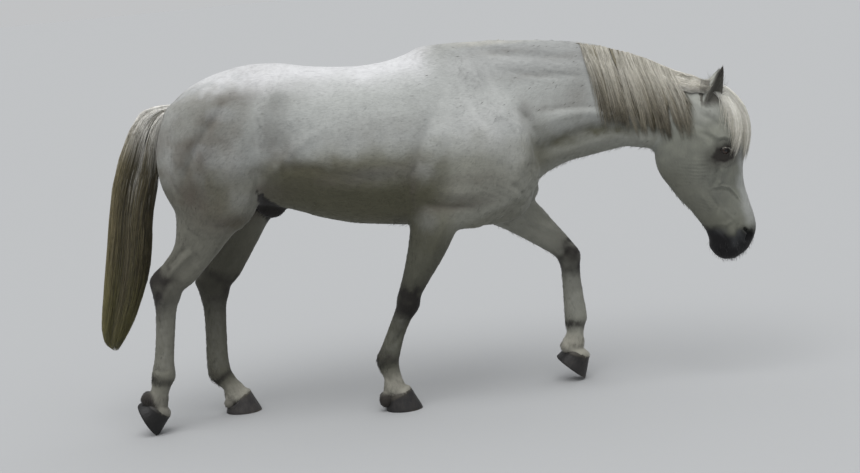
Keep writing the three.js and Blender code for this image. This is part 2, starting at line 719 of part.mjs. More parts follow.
// The line of the mouth runs from between the lips up to its corners.
const mouthRun = [MOUTH.to[0] - MOUTH.from[0], MOUTH.to[1] - MOUTH.from[1]];
const mouthLength = Math.hypot(...mouthRun);
const mouthSlab = beyond(MOUTH.from, mouthRun, { length: mouthLength, reach: MOUTH.open / 2 });
const behindLips = ball([1190, MUZZLE_Y, 580], [80, 62 - MOUTH.deep, 72], { detail: [8, 8] });
nodes.head = largest(nodes.head.subtract(mouthSlab.subtract(behindLips)));

// ---------------------------------------------------------------- mane, forelock and tail

// Numbers from 0 to 1 that are the same on every run.
function random(seed) {
  let state = seed;
  return () => {
    state = (state * 1664525 + 1013904223) % 4294967296;
    return state / 4294967296;
  };
}
const draw = random(7);
const spreadOf = (reach) => (draw() * 2 - 1) * reach;

const hairFlesh = [trunkSkin, neckSkin, headSkin].map(
  (geometry) => new THREE.Mesh(geometry, new THREE.MeshBasicMaterial({ side: THREE.DoubleSide })),
);
const probe = new THREE.Raycaster();

// How far out the flesh is on one side of the animal, at a place seen from the side. Null beside it.
function fleshY(side, x, z) {
  probe.set(new THREE.Vector3(x, side * 700, z), new THREE.Vector3(0, -side, 0));
  const [hit] = probe.intersectObjects(hairFlesh);
  return hit ? hit.point.y : null;
}

// The way that the flesh faces there, seen from the same side.
function fleshFacing(side, x, z) {
  const step = 18;
  const here = fleshY(side, x, z);
  const slope = (dx, dz) => {
    const there = fleshY(side, x + dx, z + dz);
    if (here === null || there === null) return 0;
    return THREE.MathUtils.clamp((side * (there - here)) / step, -1.2, 1.2);
  };
  return new THREE.Vector3(-slope(step, 0), side, slope(0, -step)).normalize();
}

// The middle of the neck, which bends a little to the right towards the head.
const crestY = (x) => THREE.MathUtils.smoothstep(x, 560, 1180) * HEAD_Y;

// The top of the neck or back at a place along it.
function crest(x) {
  probe.set(new THREE.Vector3(x, crestY(x), 2000), new THREE.Vector3(0, 0, -1));
  return probe.intersectObjects(hairFlesh)[0].point.z;
}

// A value between those listed for the nearest places.
function ramp(x, points) {
  const i = Math.min(Math.max(1, points.findIndex(([at]) => at >= x)), points.length - 1);
  const [[x0, v0], [x1, v1]] = [points[i - 1], points[i]];
  return v0 + (v1 - v0) * THREE.MathUtils.clamp((x - x0) / (x1 - x0), 0, 1);
}

// A flat, tapered lock through points. Its section is a low roof, flat below, whose ridge faces the way
// that each point's outward direction tells. root is its width at the root as a share of the whole, which
// it has from full on.
function lock(points, outward, { width, thick, root = 0.6, full = 0.3 }) {
  const curve = new THREE.CatmullRomCurve3(points, false, "centripetal");
  const facing = new THREE.CatmullRomCurve3(outward, false, "centripetal");
  const rings = THREE.MathUtils.clamp(Math.round(curve.getLength() / LOCK_STEP), 5, 8);
  const positions = [];
  const faces = [];
  for (let ring = 0; ring < rings; ring++) {
    const share = ring / rings;
    const u = share ** 0.9;
    const along = curve.getTangent(u);
    const across = along.clone().cross(facing.getPoint(u)).normalize();
    const out = across.clone().cross(along).normalize();
    const middle = curve.getPoint(u);
    const half = (width / 2) * (root + (1 - root) * Math.min(1, share / full)) * (1 - share ** 3 * 0.75);
    const flat = thick * (1 - share ** 2 * 0.6);
    for (const [a, b] of [[half, -0.35], [0, 0.65], [-half, -0.35]]) {
      positions.push(...middle.clone().addScaledVector(across, a).addScaledVector(out, b * flat).toArray());
    }
    if (!ring) continue;
    for (let k = 0; k < 3; k++) {
      const [a, b] = [(ring - 1) * 3 + k, (ring - 1) * 3 + ((k + 1) % 3)];
      faces.push(a, b, b + 3, a, b + 3, a + 3);
    }
  }
  const tip = positions.length / 3;
  positions.push(...curve.getPoint(1).toArray());
  for (let k = 0; k < 3; k++) faces.push(tip - 3 + k, tip - 3 + ((k + 1) % 3), tip);
  faces.push(0, 2, 1);
  const geometry = new THREE.BufferGeometry();
  geometry.setAttribute("position", new THREE.Float32BufferAttribute(positions, 3));
  geometry.setIndex(faces);
  return solid(geometry);
}

// A lock of the mane, which lies down one side of the neck. The outermost layer grows over the crest, and
// those below it out of the side of the neck just under it.
function maneLock({ side, layers, width, thick, drop, drift }, x, layer) {
  const [top, middle] = [crest(x), crestY(x)];
  const last = layer === layers - 1;
  const lift = 5 + 10 * layer;
  const down = ramp(x, drop) * (0.88 + 0.14 * draw()) * (1 - 0.05 * layer);
  const forward = ramp(x, drift) + spreadOf(3);
  const wave = 6 * Math.sin(x / 130 + 2 * layer);
  const points = [];
  const outward = [];
  const start = last ? 0.1 : 0.14 - 0.06 * layer + 14 / down;
  if (last) {
    points.push(new THREE.Vector3(x, middle - side * 9, top - 17));
    points.push(new THREE.Vector3(x + forward * 0.05, middle + side * 3, top + 4));
    outward.push(new THREE.Vector3(0, side * 0.2, 1), new THREE.Vector3(0, side * 0.4, 1));
  } else {
    const z = top - down * start + 26;
    points.push(new THREE.Vector3(x, (fleshY(side, x, z) ?? middle) - side * 12, z));
    outward.push(new THREE.Vector3(0, side, 0.6));
  }
  for (const part of [0, 0.22, 0.47, 0.73, 1]) {
    const share = start + (1 - start) * part;
    const at = x + forward * share ** 0.6 + wave * Math.sin(share * 5);
    const z = top - down * share;
    const y = (fleshY(side, at, z) ?? middle) + side * (lift * (1 - 0.3 * share) + 1);
    points.push(new THREE.Vector3(at, y, z));
    outward.push(fleshFacing(side, at, z));
  }
  return lock(points, outward, { width: width * (0.94 + 0.12 * draw()), thick, root: 0.8 });
}

const maneLocks = [];
for (const mane of MANES) {
  for (let layer = 0; layer < mane.layers; layer++) {
    const first = mane.from + (mane.spacing * layer) / mane.layers;
    for (let x = first; x < mane.to; x += mane.spacing) {
      maneLocks.push(maneLock(mane, x + spreadOf(1), layer));
    }
  }
}

// The swept hair: each lock starts a little behind the one below it.
for (let k = 0; k < SWEEP.locks; k++) {
  const { from, to, apart, bow, width, thick } = SWEEP;
  const off = k - (SWEEP.locks - 1) / 2;
  const points = [];
  const outward = [];
  for (const share of [0, 0.12, 0.4, 0.7, 1]) {
    const x = from[0] + (to[0] - from[0]) * share + off * 6;
    const sag = bow * Math.sin(Math.PI * share);
    const line = from[1] + (to[1] - from[1]) * share - sag + off * apart * (1 - 0.6 * share);
    const z = Math.min(line, crest(x) - 6);
    const lift = share ? 7 + 5 * (k % 2) : -14;
    points.push(new THREE.Vector3(x, fleshY(RIGHT, x, z) - lift, z));
    outward.push(fleshFacing(RIGHT, x, z));
  }
  maneLocks.push(lock(points, outward, { width, thick }));
}

const headGrown = solid(loft(HEAD, { ...headShape, grow: HAIR_CLEARANCE })).add(
  solid(loft(NECK, { ...neckShape, grow: HAIR_CLEARANCE })),
);
const behindHead = beyond(HEAD_CUT.at, HEAD_CUT.direction, { ...HEAD_CUT, back: GAP });
const aheadOfTorso = beyond(NECK_CUT.at, NECK_CUT.direction, NECK_CUT);
const overHeadNode = behindHead.intersect(headGrown);
const mane = join(maneLocks).subtract(overHeadNode).intersect(aheadOfTorso).subtract(earsGrown);
nodes.neck = largest(nodes.neck.add(mane));

// A point on a loft's skin, lifted off it, and the way out from it.
function onSkin(stations, { swellings, middleY = 0 }, place, angle, lift) {
  const { middle, out, reach } = spoke(between(stations, place), angle);
  const point = middle.addScaledVector(out, reach);
  return [point.addScaledVector(out, swelling(point, swellings, middleY) + lift), out];
}

// The forelock's locks start close together at the poll and spread over the forehead.
const foreLocks = [];
for (let layer = 0; layer < FORELOCK.layers; layer++) {
  const locks = FORELOCK.locks - layer;
  for (let k = 0; k < locks; k++) {
    const across = (2 * (k + 0.5)) / locks - 1;
    const end = 5.3 - 1.2 * across ** 2 + spreadOf(0.2);
    const lift = FORELOCK.lift * (0.5 + 0.5 * layer) * (1 - 0.45 * across ** 2);
    const points = [];
    const outward = [];
    for (const share of [0, 0.12, 0.35, 0.58, 0.8, 1]) {
      const place = FORELOCK.from + (end - FORELOCK.from) * share;
      const angle = Math.PI / 2 + across * FORELOCK.spread * (0.45 + 0.75 * share) + spreadOf(0.03);
      const arch = share ? 4 + lift * Math.sin(Math.PI * (0.18 + 0.72 * share)) : -10;
      const [point, out] = onSkin(HEAD, headShape, place, angle, arch);
      points.push(point);
      outward.push(out);
    }
    const { width, ...size } = FORELOCK.size;
    foreLocks.push(lock(points, outward, { width: width * (0.9 + 0.2 * draw()), ...size }));
  }
}
const neckGrown = solid(loft(NECK, { ...neckShape, grow: HAIR_CLEARANCE }));
const behindPoll = beyond(HEAD_CUT.at, HEAD_CUT.direction.map((d) => -d), { ...HEAD_CUT, back: GAP });
const overNeckNode = behindPoll.intersect(neckGrown);
const forelock = join(foreLocks).subtract(earsGrown).subtract(eyesGrown).subtract(overNeckNode);
nodes.head = largest(nodes.head.add(forelock));

// The tail: a dock of flesh, and tiers of locks that hang from it.
const dockEnd = Math.ceil(DOCK.to);
const dockStations = TAIL.slice(0, dockEnd + 1).map(([topX, topZ, lowX, lowZ, half, ...rest], n) => {
  const [middleX, middleZ] = [(topX + lowX) / 2, (topZ + lowZ) / 2];
  const scale = n < 1 ? 0.92 : DOCK.share * (1 - (n / (dockEnd + 0.6)) ** 4);
  const pull = (value, centre) => centre + (value - centre) * scale;
  const top = [pull(topX, middleX), pull(topZ, middleZ)];
  const low = [pull(lowX, middleX), pull(lowZ, middleZ)];
  return [...top, ...low, half * scale, ...rest];
});
const tailPieces = [solid(loft(dockStations, { rings: 8, sides: 10 }))];
for (const { tip, around, depth, rises, sway, width, ...tier } of TAIL_TIERS) {
  const reachAt = (share) => {
    if (!share) return 0.35;
    return depth[0] + (depth[1] - depth[0]) * THREE.MathUtils.smoothstep(share, rises, rises + 0.2);
  };
  for (let k = 0; k < around; k++) {
    const start = tier.root + spreadOf(0.2);
    const end = Math.min(tip + spreadOf(0.7), 11.9);
    const angle = (2 * Math.PI * (k + 0.1 * draw())) / around;
    const points = [];
    const outward = [];
    for (const share of [0, 0.08, 0.3, 0.5, 0.7, 0.87, 1]) {
      const place = start + (end - start) * share;
      const { middle, out, reach } = spoke(between(TAIL, place), angle + sway * Math.sin(share * 4));
      points.push(middle.addScaledVector(out, reach * reachAt(share) - (share ? TAIL_LOCK_THICK / 3 : 0)));
      outward.push(out);
    }
    const varied = width * (0.94 + 0.12 * draw());
    tailPieces.push(lock(points, outward, { width: varied, thick: TAIL_LOCK_THICK, root: 0.4, full: tier.full }));
  }
}
const trunkGrown = solid(cover(TRUNK, overTrunk, { ...trunkShape, grow: GAP }));
nodes.tail = largest(join(tailPieces).subtract(trunkGrown));

// ---------------------------------------------------------------- the group

const COATS = {
  head: 0x9b9c99,
  neck: 0xa9aca8,
  torso: 0xa7aaa6,
  ear: 0x8f908c,
  tail: 0x8d8b78,
  eye: 0x1c1714,
  hoof: 0x3c3a38,
  upper: 0x9a9b97,
  lower: 0x7d7c79,
};
const finishOf = (name) => {
  const key = Object.keys(COATS).find((word) => name.split("_").includes(word));
  const roughness = key === "eye" ? 0.08 : key === "hoof" ? 0.55 : 0.8;
  return new THREE.MeshStandardMaterial({ color: COATS[key], roughness, metalness: 0 });
};

// The whole stands over the origin.
const boxes = Object.values(nodes).map((made) => made.boundingBox());
const middleOf = (axis) =>
  (Math.min(...boxes.map((box) => box.min[axis])) + Math.max(...boxes.map((box) => box.max[axis]))) / 2;

const group = new THREE.Group();
for (const [name, made] of Object.entries(nodes)) {
  const mesh = new THREE.Mesh(toGeometry(made), finishOf(name));
  mesh.name = name;
  mesh.position.set(-middleOf(0), -middleOf(1), 0);
  group.add(mesh);
}
export default group;
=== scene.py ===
"""The finish of a grey riding pony in a slow walk, a life-size still figure.

One closed skin lies over the whole animal, from the lips to the crowns of the hooves and the end of the
dock. On it grow the short coat, in flat tufts, and the mane, forelock and tail, strand by strand. The
eyes and the hooves are pieces of their own.

The named sizes are in millimetres, in the frame of the part's source, whose X runs to the head, Y to the
animal's left and Z up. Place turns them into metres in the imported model's frame.
"""

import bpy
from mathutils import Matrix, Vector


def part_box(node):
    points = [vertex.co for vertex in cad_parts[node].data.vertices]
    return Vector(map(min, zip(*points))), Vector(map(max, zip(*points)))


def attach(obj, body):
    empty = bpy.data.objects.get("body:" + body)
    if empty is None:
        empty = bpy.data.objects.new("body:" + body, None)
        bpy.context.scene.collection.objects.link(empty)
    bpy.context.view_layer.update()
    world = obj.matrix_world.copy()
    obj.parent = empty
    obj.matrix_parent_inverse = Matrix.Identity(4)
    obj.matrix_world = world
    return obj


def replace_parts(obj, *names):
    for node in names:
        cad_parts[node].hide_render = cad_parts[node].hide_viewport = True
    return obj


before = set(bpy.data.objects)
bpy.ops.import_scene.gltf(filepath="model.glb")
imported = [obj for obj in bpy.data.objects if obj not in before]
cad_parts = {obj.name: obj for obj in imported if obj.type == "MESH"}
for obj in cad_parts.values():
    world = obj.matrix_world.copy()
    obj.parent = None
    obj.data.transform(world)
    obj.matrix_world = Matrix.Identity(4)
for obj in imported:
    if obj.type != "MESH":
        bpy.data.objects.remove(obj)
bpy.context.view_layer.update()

import logging
import math
from dataclasses import dataclass, field
from enum import Enum, IntEnum
from itertools import product

import bpy
import numpy as np
from mathutils import Matrix, Vector
from mathutils.bvhtree import BVHTree

log = logging.getLogger("pony")

Array = np.ndarray
Pair = tuple[float, float]
Row = tuple[float, ...]
Faces = list[tuple[int, ...]]
Socket = bpy.types.NodeSocket
Piece = bpy.types.Object

MM = 0.001
RIGHT, LEFT = -1, 1
SIDES = (RIGHT, LEFT)
SIDE_WORDS = {RIGHT: "right", LEFT: "left"}

EYE_RADIUS = 23.0
HEAD_Y = -58.0
MUZZLE_Y = -74.0
# X, the distance from the middle of the head, and Z.
EYE_AT = (1206.0, 84.0, 930.0)
COAT_DEPTH = 4.0


# ---- numbers


def smooth(value: Array, low: float, high: float) -> Array:
    """A smooth step of a value from 0 at low to 1 at high."""
    t = np.clip((value - low) / (high - low), 0.0, 1.0)
    return t * t * (3 - 2 * t)


def window(value: Array, low: float, high: float, soft: float) -> Array:
    """1 where a value is between two bounds and 0 elsewhere, with soft ends."""
    return smooth(value, low - soft, low + soft) * smooth(-value, -high - soft, -high + soft)


def unit(vectors: Array) -> Array:
    """The same vectors at length 1."""
    return vectors / np.maximum(np.linalg.norm(vectors, axis=-1, keepdims=True), 1e-12)


def mix(a: Array, b: Array, share: Array) -> Array:
    """From a at share 0 to b at share 1."""
    return a + (b - a) * share


def ramp(value: Array, pairs: list[Pair]) -> Array:
    """Straight lines through (place, value) pairs."""
    places, values = zip(*pairs)
    return np.interp(value, places, values)


def grain(points: Array, size: float, seed: int = 0) -> Array:
    """Smooth noise in space.

    Args:
        points: Places, one a row.
        size: How far apart its lumps are, in the points' unit.
        seed: Which noise it is.

    Returns:
        One number from -1 to 1 for each place.
    """
    scaled = points / size + 1000.0
    cell = np.floor(scaled).astype(np.int64)
    t = scaled - cell
    t = t * t * (3 - 2 * t)
    total = np.zeros(len(points))
    for corner in product((0, 1), repeat=3):
        at = cell + np.array(corner)
        key = at[:, 0] * 73856093 ^ at[:, 1] * 19349663 ^ at[:, 2] * 83492791 ^ (seed * 2654435761)
        key = (key ^ (key >> 13)) * 1274126177 & 0xFFFFFF
        weight = np.prod(np.where(np.array(corner), t, 1 - t), axis=1)
        total += weight * (key / float(0xFFFFFF) * 2 - 1)
    return total


def dab(points: Array, centre: Row, reach: Row) -> Array:
    """A soft round spot: 1 at its centre, nearly 0 two reaches away."""
    return np.exp(-np.sum(((points - np.array(centre)) / np.array(reach)) ** 2, axis=1))


def srgb(*levels: float) -> Array:
    """A colour given as the eye sees it, 0 to 255, as linear light."""
    value = np.array(levels) / 255.0
    return np.where(value <= 0.04045, value / 12.92, ((value + 0.055) / 1.055) ** 2.4)


# ---- lofts


def sections(rows: list[Row]) -> Array:
    """Sections of the body, seen from the side.

    Args:
        rows: For each the X and Z of its upper or front outline point, those of its lower or rear one, and
            half its width. Where they aren't the usual, its Y follows, the share of the way down at which it
            is widest, and its roundness above and below that, where 2 is an ellipse.

    Returns:
        All nine numbers of each.
    """
    usual = (0.0, 0.5, 2.0, 2.0)
    return np.array([(*row, *usual[len(row) - 5 :]) for row in rows])


def between(stations: Array, places: Array) -> Array:
    """Catmull-Rom through the stations' rows, at places counted in stations."""
    last = len(stations) - 1
    first = np.clip(np.floor(places).astype(int), 0, last - 1)
    t = (places - first)[:, None]
    a, b, c, d = (stations[np.clip(first + k, 0, last)] for k in (-1, 0, 1, 2))
    slope_in, slope_out, rise = (c - a) / 2, (d - b) / 2, c - b
    cubic = slope_in + slope_out - 2 * rise
    return b + slope_in * t + (rise - slope_in - cubic) * t**2 + cubic * t**3


def spokes(stations: Array, places: Array, angles: Array) -> tuple[Array, Array, Array]:
    """The spokes of a loft.

    Args:
        stations: Its sections.
        places: Where along them, counted in stations.
        angles: Where around them, from the left side up over the top.

    Returns:
        The middle of each spoke's section, the way out from it, and how far out the surface is.
    """
    rows = between(stations, places)
    top, low = rows[:, 0:2], rows[:, 2:4]
    half, y, wide, crown, keel = rows[:, 4:9].T
    depth = np.linalg.norm(top - low, axis=1)
    up = (top - low) / depth[:, None]
    middle = top - up * (wide * depth)[:, None]
    above = np.sin(angles) >= 0
    power = 2 / np.where(above, crown, keel)
    rise = np.sign(np.sin(angles)) * np.abs(np.sin(angles)) ** power
    rise = rise * depth * np.where(above, wide, 1 - wide)
    side = np.sign(np.cos(angles)) * np.abs(np.cos(angles)) ** power * half
    out = np.stack([up[:, 0] * rise, side, up[:, 1] * rise], axis=1)
    reach = np.linalg.norm(out, axis=1)
    return np.stack([middle[:, 0], y, middle[:, 1]], axis=1), unit(out), reach


def swelling(points: Array, swellings: list[Row], middle_y: float) -> Array:
    """How far the listed swellings lift the skin, on both sides of its middle."""
    rise = np.zeros(len(points))
    for x, y, z, reach_x, reach_y, reach_z, height in swellings:
        across = (np.abs(points[:, 1] - middle_y) - y) / reach_y
        far = ((points[:, 0] - x) / reach_x) ** 2 + across**2 + ((points[:, 2] - z) / reach_z) ** 2
        rise += height * np.exp(-far)
    return rise


def tube_faces(rings: int, sides: int) -> Faces:
    """The four-sided faces of a tube of rings."""
    corners = [(r * sides + k, r * sides + (k + 1) % sides) for r in range(rings) for k in range(sides)]
    return [(a, b, b + sides, a + sides) for a, b in corners]


@dataclass
class Loft:
    """A closed surface through named sections."""

    stations: Array
    rings: int = 60
    sides: int = 48
    swellings: list[Row] = field(default_factory=list)
    middle_y: float = 0.0
    grow: float = -COAT_DEPTH

    def surface(self, places: Array, angles: Array) -> tuple[Array, Array]:
        """Points on the surface and the ways out there."""
        middle, out, reach = spokes(self.stations, places, angles)
        points = middle + out * reach[:, None]
        lift = swelling(points, self.swellings, self.middle_y) + self.grow
        lift = np.maximum(lift, 2.0 - reach)
        return points + out * lift[:, None], out

    def mesh(self) -> tuple[Array, Faces]:
        """Its vertices, and its faces, which face outwards."""
        last = len(self.stations) - 1
        ring, side = np.mgrid[0 : self.rings + 1, 0 : self.sides]
        places = last * ring.ravel() / self.rings
        points, _ = self.surface(places, 2 * math.pi * side.ravel() / self.sides)
        faces = tube_faces(self.rings, self.sides)
        rim = np.arange(self.sides)
        faces.append(tuple(int(i) for i in rim[::-1]))
        faces.append(tuple(int(i) for i in rim + self.rings * self.sides))
        return points, faces


# ---- sizes

TRUNK = sections([
    (-1008, 1190, -1008, 1085, 60),
    (-990, 1262, -990, 1010, 90, 0, 0.45),
    (-950, 1318, -950, 960, 130, 0, 0.45),
    (-870, 1376, -870, 905, 178, 0, 0.42, 1.9),
    (-765, 1418, -765, 872, 213, 0, 0.4, 1.9),
    (-640, 1440, -640, 866, 232, 0, 0.4),
    (-520, 1436, -520, 842, 248, 0, 0.44, 2.1),
    (-400, 1412, -400, 796, 266, 0, 0.5, 2.2),
    (-270, 1397, -270, 762, 282, 0, 0.53, 2.2),
    (-140, 1396, -140, 744, 286, 0, 0.55, 2.1),
    (-20, 1419, -20, 730, 272, 0, 0.57, 1.9),
    (90, 1463, 90, 716, 244, 0, 0.6, 1.6),
    (190, 1472, 190, 704, 218, 0, 0.62, 1.5),
    (290, 1440, 290, 700, 190, 0, 0.62, 1.6),
    (380, 1330, 380, 716, 168, 0, 0.55, 2, 2.3),
    (440, 1200, 440, 770, 128, 0, 0.5, 2, 2.3),
    (466, 1080, 466, 850, 60),
    (486, 1000, 486, 920, 24),
])
NECK = sections([
    (110, 1450, 360, 770, 206, 0, 0.6, 1.6),
    (250, 1455, 455, 838, 182, 0, 0.6, 1.5),
    (410, 1438, 522, 889, 148, 0, 0.58, 1.5),
    (560, 1425, 610, 927, 116, 0, 0.57, 1.5),
    (700, 1404, 715, 945, 95, -4, 0.56, 1.5),
    (820, 1367, 795, 959, 86, -12, 0.55, 1.5),
    (930, 1318, 850, 965, 82, -24, 0.54, 1.55),
    (1030, 1266, 905, 950, 82, -38, 0.52, 1.6),
    (1105, 1227, 975, 960, 80, -48, 0.5, 1.7),
])
HEAD = sections([
    (1105, 1223, 1010, 1120, 50, HEAD_Y),
    (1168, 1200, 958, 1035, 76, HEAD_Y, 0.5, 2.2),
    (1240, 1152, 948, 962, 93, HEAD_Y, 0.42, 2.3),
    (1292, 1084, 946, 897, 104, HEAD_Y, 0.38, 2.4, 1.9),
    (1312, 1003, 962, 846, 109, HEAD_Y, 0.33, 2.5, 1.9),
    (1307, 926, 993, 797, 105, HEAD_Y, 0.33, 2.5, 1.9),
    (1293, 853, 1027, 745, 88, HEAD_Y - 4, 0.37, 2.3),
    (1294, 785, 1069, 695, 71, HEAD_Y - 8, 0.42, 2.1),
    (1308, 720, 1099, 650, 60, HEAD_Y - 11, 0.46, 2, 2.1),
    (1323, 660, 1123, 612, 58, HEAD_Y - 13, 0.48, 2.1, 2.2),
    (1328, 610, 1135, 575, 62, MUZZLE_Y, 0.46, 2.3, 2.2),
    (1315, 566, 1142, 543, 61, MUZZLE_Y, 0.44, 2.3, 2.2),
    (1289, 523, 1154, 513, 52, MUZZLE_Y, 0.45, 2.2),
    (1257, 497, 1172, 494, 36, MUZZLE_Y),
    (1236, 484, 1192, 484, 12, MUZZLE_Y),
])
EAR = sections([
    (13, -34, -15, -34, 24),
    (18, -8, -21, -8, 34),
    (21, 24, -25, 24, 39),
    (20, 58, -26, 58, 38),
    (15, 92, -22, 92, 28),
    (8, 122, -14, 122, 18),
    (1, 146, -5, 146, 7),
    (-1, 154, -3, 154, 2),
])
EAR_CUP = sections([
    (24, 2, 4, 8, 10),
    (34, 26, -8, 26, 27),
    (34, 58, -14, 58, 30),
    (28, 92, -13, 92, 22),
    (18, 120, -7, 120, 13),
    (9, 142, 1, 142, 4),
])
TAIL = sections([
    (-935, 1322, -930, 1268, 24),
    (-992, 1322, -975, 1250, 34),
    (-1056, 1309, -1003, 1205, 44),
    (-1113, 1253, -1024, 1130, 54),
    (-1167, 1158, -1033, 1040, 64),
    (-1216, 1043, -1060, 945, 74),
    (-1250, 911, -1085, 855, 80),
    (-1273, 789, -1098, 762, 82),
    (-1303, 650, -1124, 642, 78),
    (-1330, 518, -1166, 538, 68),
    (-1348, 420, -1222, 425, 48),
    (-1337, 362, -1270, 358, 24),
    (-1306, 334, -1294, 332, 6),
])

# Sections along a leg: bone, share of the way down it, reach in front of and behind the bone, half width,
# squareness.
FORE = [
    (0, 0.0, 75, 80, 44, 2.0), (0, 0.5, 98, 108, 72, 2.4), (1, 0.0, 104, 104, 74, 2.4),
    (1, 0.2, 100, 82, 65, 2.2), (1, 0.45, 84, 64, 54, 2.0), (1, 0.72, 60, 52, 42, 2.0),
    (1, 0.88, 48, 49, 39, 2.0), (2, 0.0, 49, 45, 45, 2.0), (2, 0.12, 44, 38, 43, 2.0),
    (2, 0.28, 33, 38, 30, 2.0), (2, 0.55, 29, 41, 25, 2.0), (2, 0.82, 34, 44, 29, 2.0),
    (3, 0.0, 44, 52, 37, 2.0), (3, 0.3, 38, 48, 33, 2.0), (3, 0.65, 37, 39, 31, 2.0),
    (3, 0.92, 42, 46, 38, 2.0), (4, 0.12, 44, 50, 44, 2.0), (4, 0.45, 36, 36, 38, 2.0),
]
# How much further in front the sections of the bent foreleg are.
BEND = {(1, 0.45): 3, (1, 0.72): 11, (1, 0.88): 12, (2, 0.0): -10, (2, 0.12): -13, (2, 0.28): -6}
BENT = [
    (bone, at, front + BEND.get((bone, at), 0), back - 0.9 * max(BEND.get((bone, at), 0), 0), half, square)
    for bone, at, front, back, half, square in FORE
]
HIND = [
    (0, 0.0, 190, 195, 86, 2.4), (0, 0.5, 164, 210, 108, 2.6), (1, 0.0, 138, 196, 104, 2.6),
    (1, 0.18, 112, 164, 92, 2.4), (1, 0.4, 104, 108, 68, 2.1), (1, 0.62, 96, 64, 49, 2.0),
    (1, 0.82, 88, 60, 40, 2.0), (1, 0.94, 79, 72, 41, 2.0), (2, 0.03, 66, 76, 45, 2.0),
    (2, 0.13, 56, 62, 44, 2.0), (2, 0.27, 42, 48, 34, 2.0), (2, 0.5, 38, 44, 29, 2.0),
    (2, 0.82, 37, 46, 31, 2.0), (3, 0.0, 45, 54, 38, 2.0), (3, 0.3, 39, 49, 34, 2.0),
    (3, 0.65, 37, 40, 31, 2.0), (3, 0.92, 42, 47, 38, 2.0), (4, 0.12, 44, 51, 44, 2.0),
    (4, 0.45, 36, 36, 38, 2.0),
]

HEAD_SWELLINGS = [
    (1050, 98, 945, 85, 70, 85, 12), (1215, 92, 985, 34, 50, 20, 9), (1180, 84, 1035, 30, 50, 28, -8),
    (1208, 90, 872, 18, 50, 28, 7), (1190, 74, 812, 18, 50, 42, 8), (1120, 78, 800, 40, 50, 40, -6),
    (1256, 50, 770, 30, 40, 60, -5), (1289, 44, 598, 22, 26, 34, 10), (1262, 50, 532, 30, 40, 22, 5),
    (1172, 40, 520, 24, 40, 20, 6), (1146, 0, 540, 26, 40, 22, 7),
]
NECK_SWELLINGS = [
    (560, 110, 1010, 170, 60, 28, -9), (800, 90, 1035, 120, 60, 26, -8), (560, 110, 1100, 190, 60, 42, 8),
    (640, 100, 1300, 200, 70, 60, 6),
]
TRUNK_SWELLINGS = [
    (-505, 230, 1340, 60, 80, 48, 15), (-955, 70, 1290, 45, 45, 60, -8),
    (-545, 260, 1120, 55, 140, 120, -14), (15, 250, 1010, 40, 150, 190, -9),
    (300, 190, 1290, 30, 90, 130, -8), (215, 150, 1360, 30, 80, 70, 9), (430, 120, 1010, 50, 80, 70, 12),
    (460, 0, 900, 60, 26, 110, -18), (-400, 282, 1010, 160, 90, 60, 6),
]


# Parts that lie over the trunk: the numbers of a section, and how far it shifts with the leg.
THIGH = [
    (-620, 1400, -850, 1376, 40, 95, 0.0),
    (-548, 1345, -955, 1305, 92, 120, 0.0),
    (-512, 1235, -1000, 1212, 116, 136, 0.1),
    (-540, 1105, -1022, 1106, 124, 142, 0.3),
    (-606, 990, -1017, 1012, 112, 140, 0.6),
    (-668, 905, -992, 938, 102, 134, 0.9),
    (-690, 850, -968, 885, 94, 132, 1.0),
    (-706, 798, -952, 820, 56, 128, 1.0),
]
SHOULDER = [
    (268, 1395, 108, 1388, 46, 34, 0.0),
    (360, 1300, 62, 1290, 98, 62, 0.0),
    (442, 1160, 24, 1150, 134, 84, 0.0),
    (482, 1010, -6, 1010, 148, 92, -0.08),
    (482, 890, -20, 895, 138, 96, 0.0),
    (430, 805, -2, 815, 108, 98, 0.5),
    (330, 752, 12, 765, 82, 104, 1.0),
    (230, 712, 24, 725, 46, 112, 1.0),
]


def over_trunk(rows: list[Row], side: int, shift: float) -> Array:
    """Sections of a part that lies over one side of the trunk, its lower end shift further forward."""
    moved = [(ax + shift * s, az, bx + shift * s, bz, half, side * y) for ax, az, bx, bz, half, y, s in rows]
    return sections(moved)


class Region(IntEnum):
    """A length of the body that the coat is laid out along."""

    TORSO = 0
    NECK = 1
    HEAD = 2
    FORE_RIGHT = 3
    FORE_LEFT = 4
    HIND_RIGHT = 5
    HIND_LEFT = 6


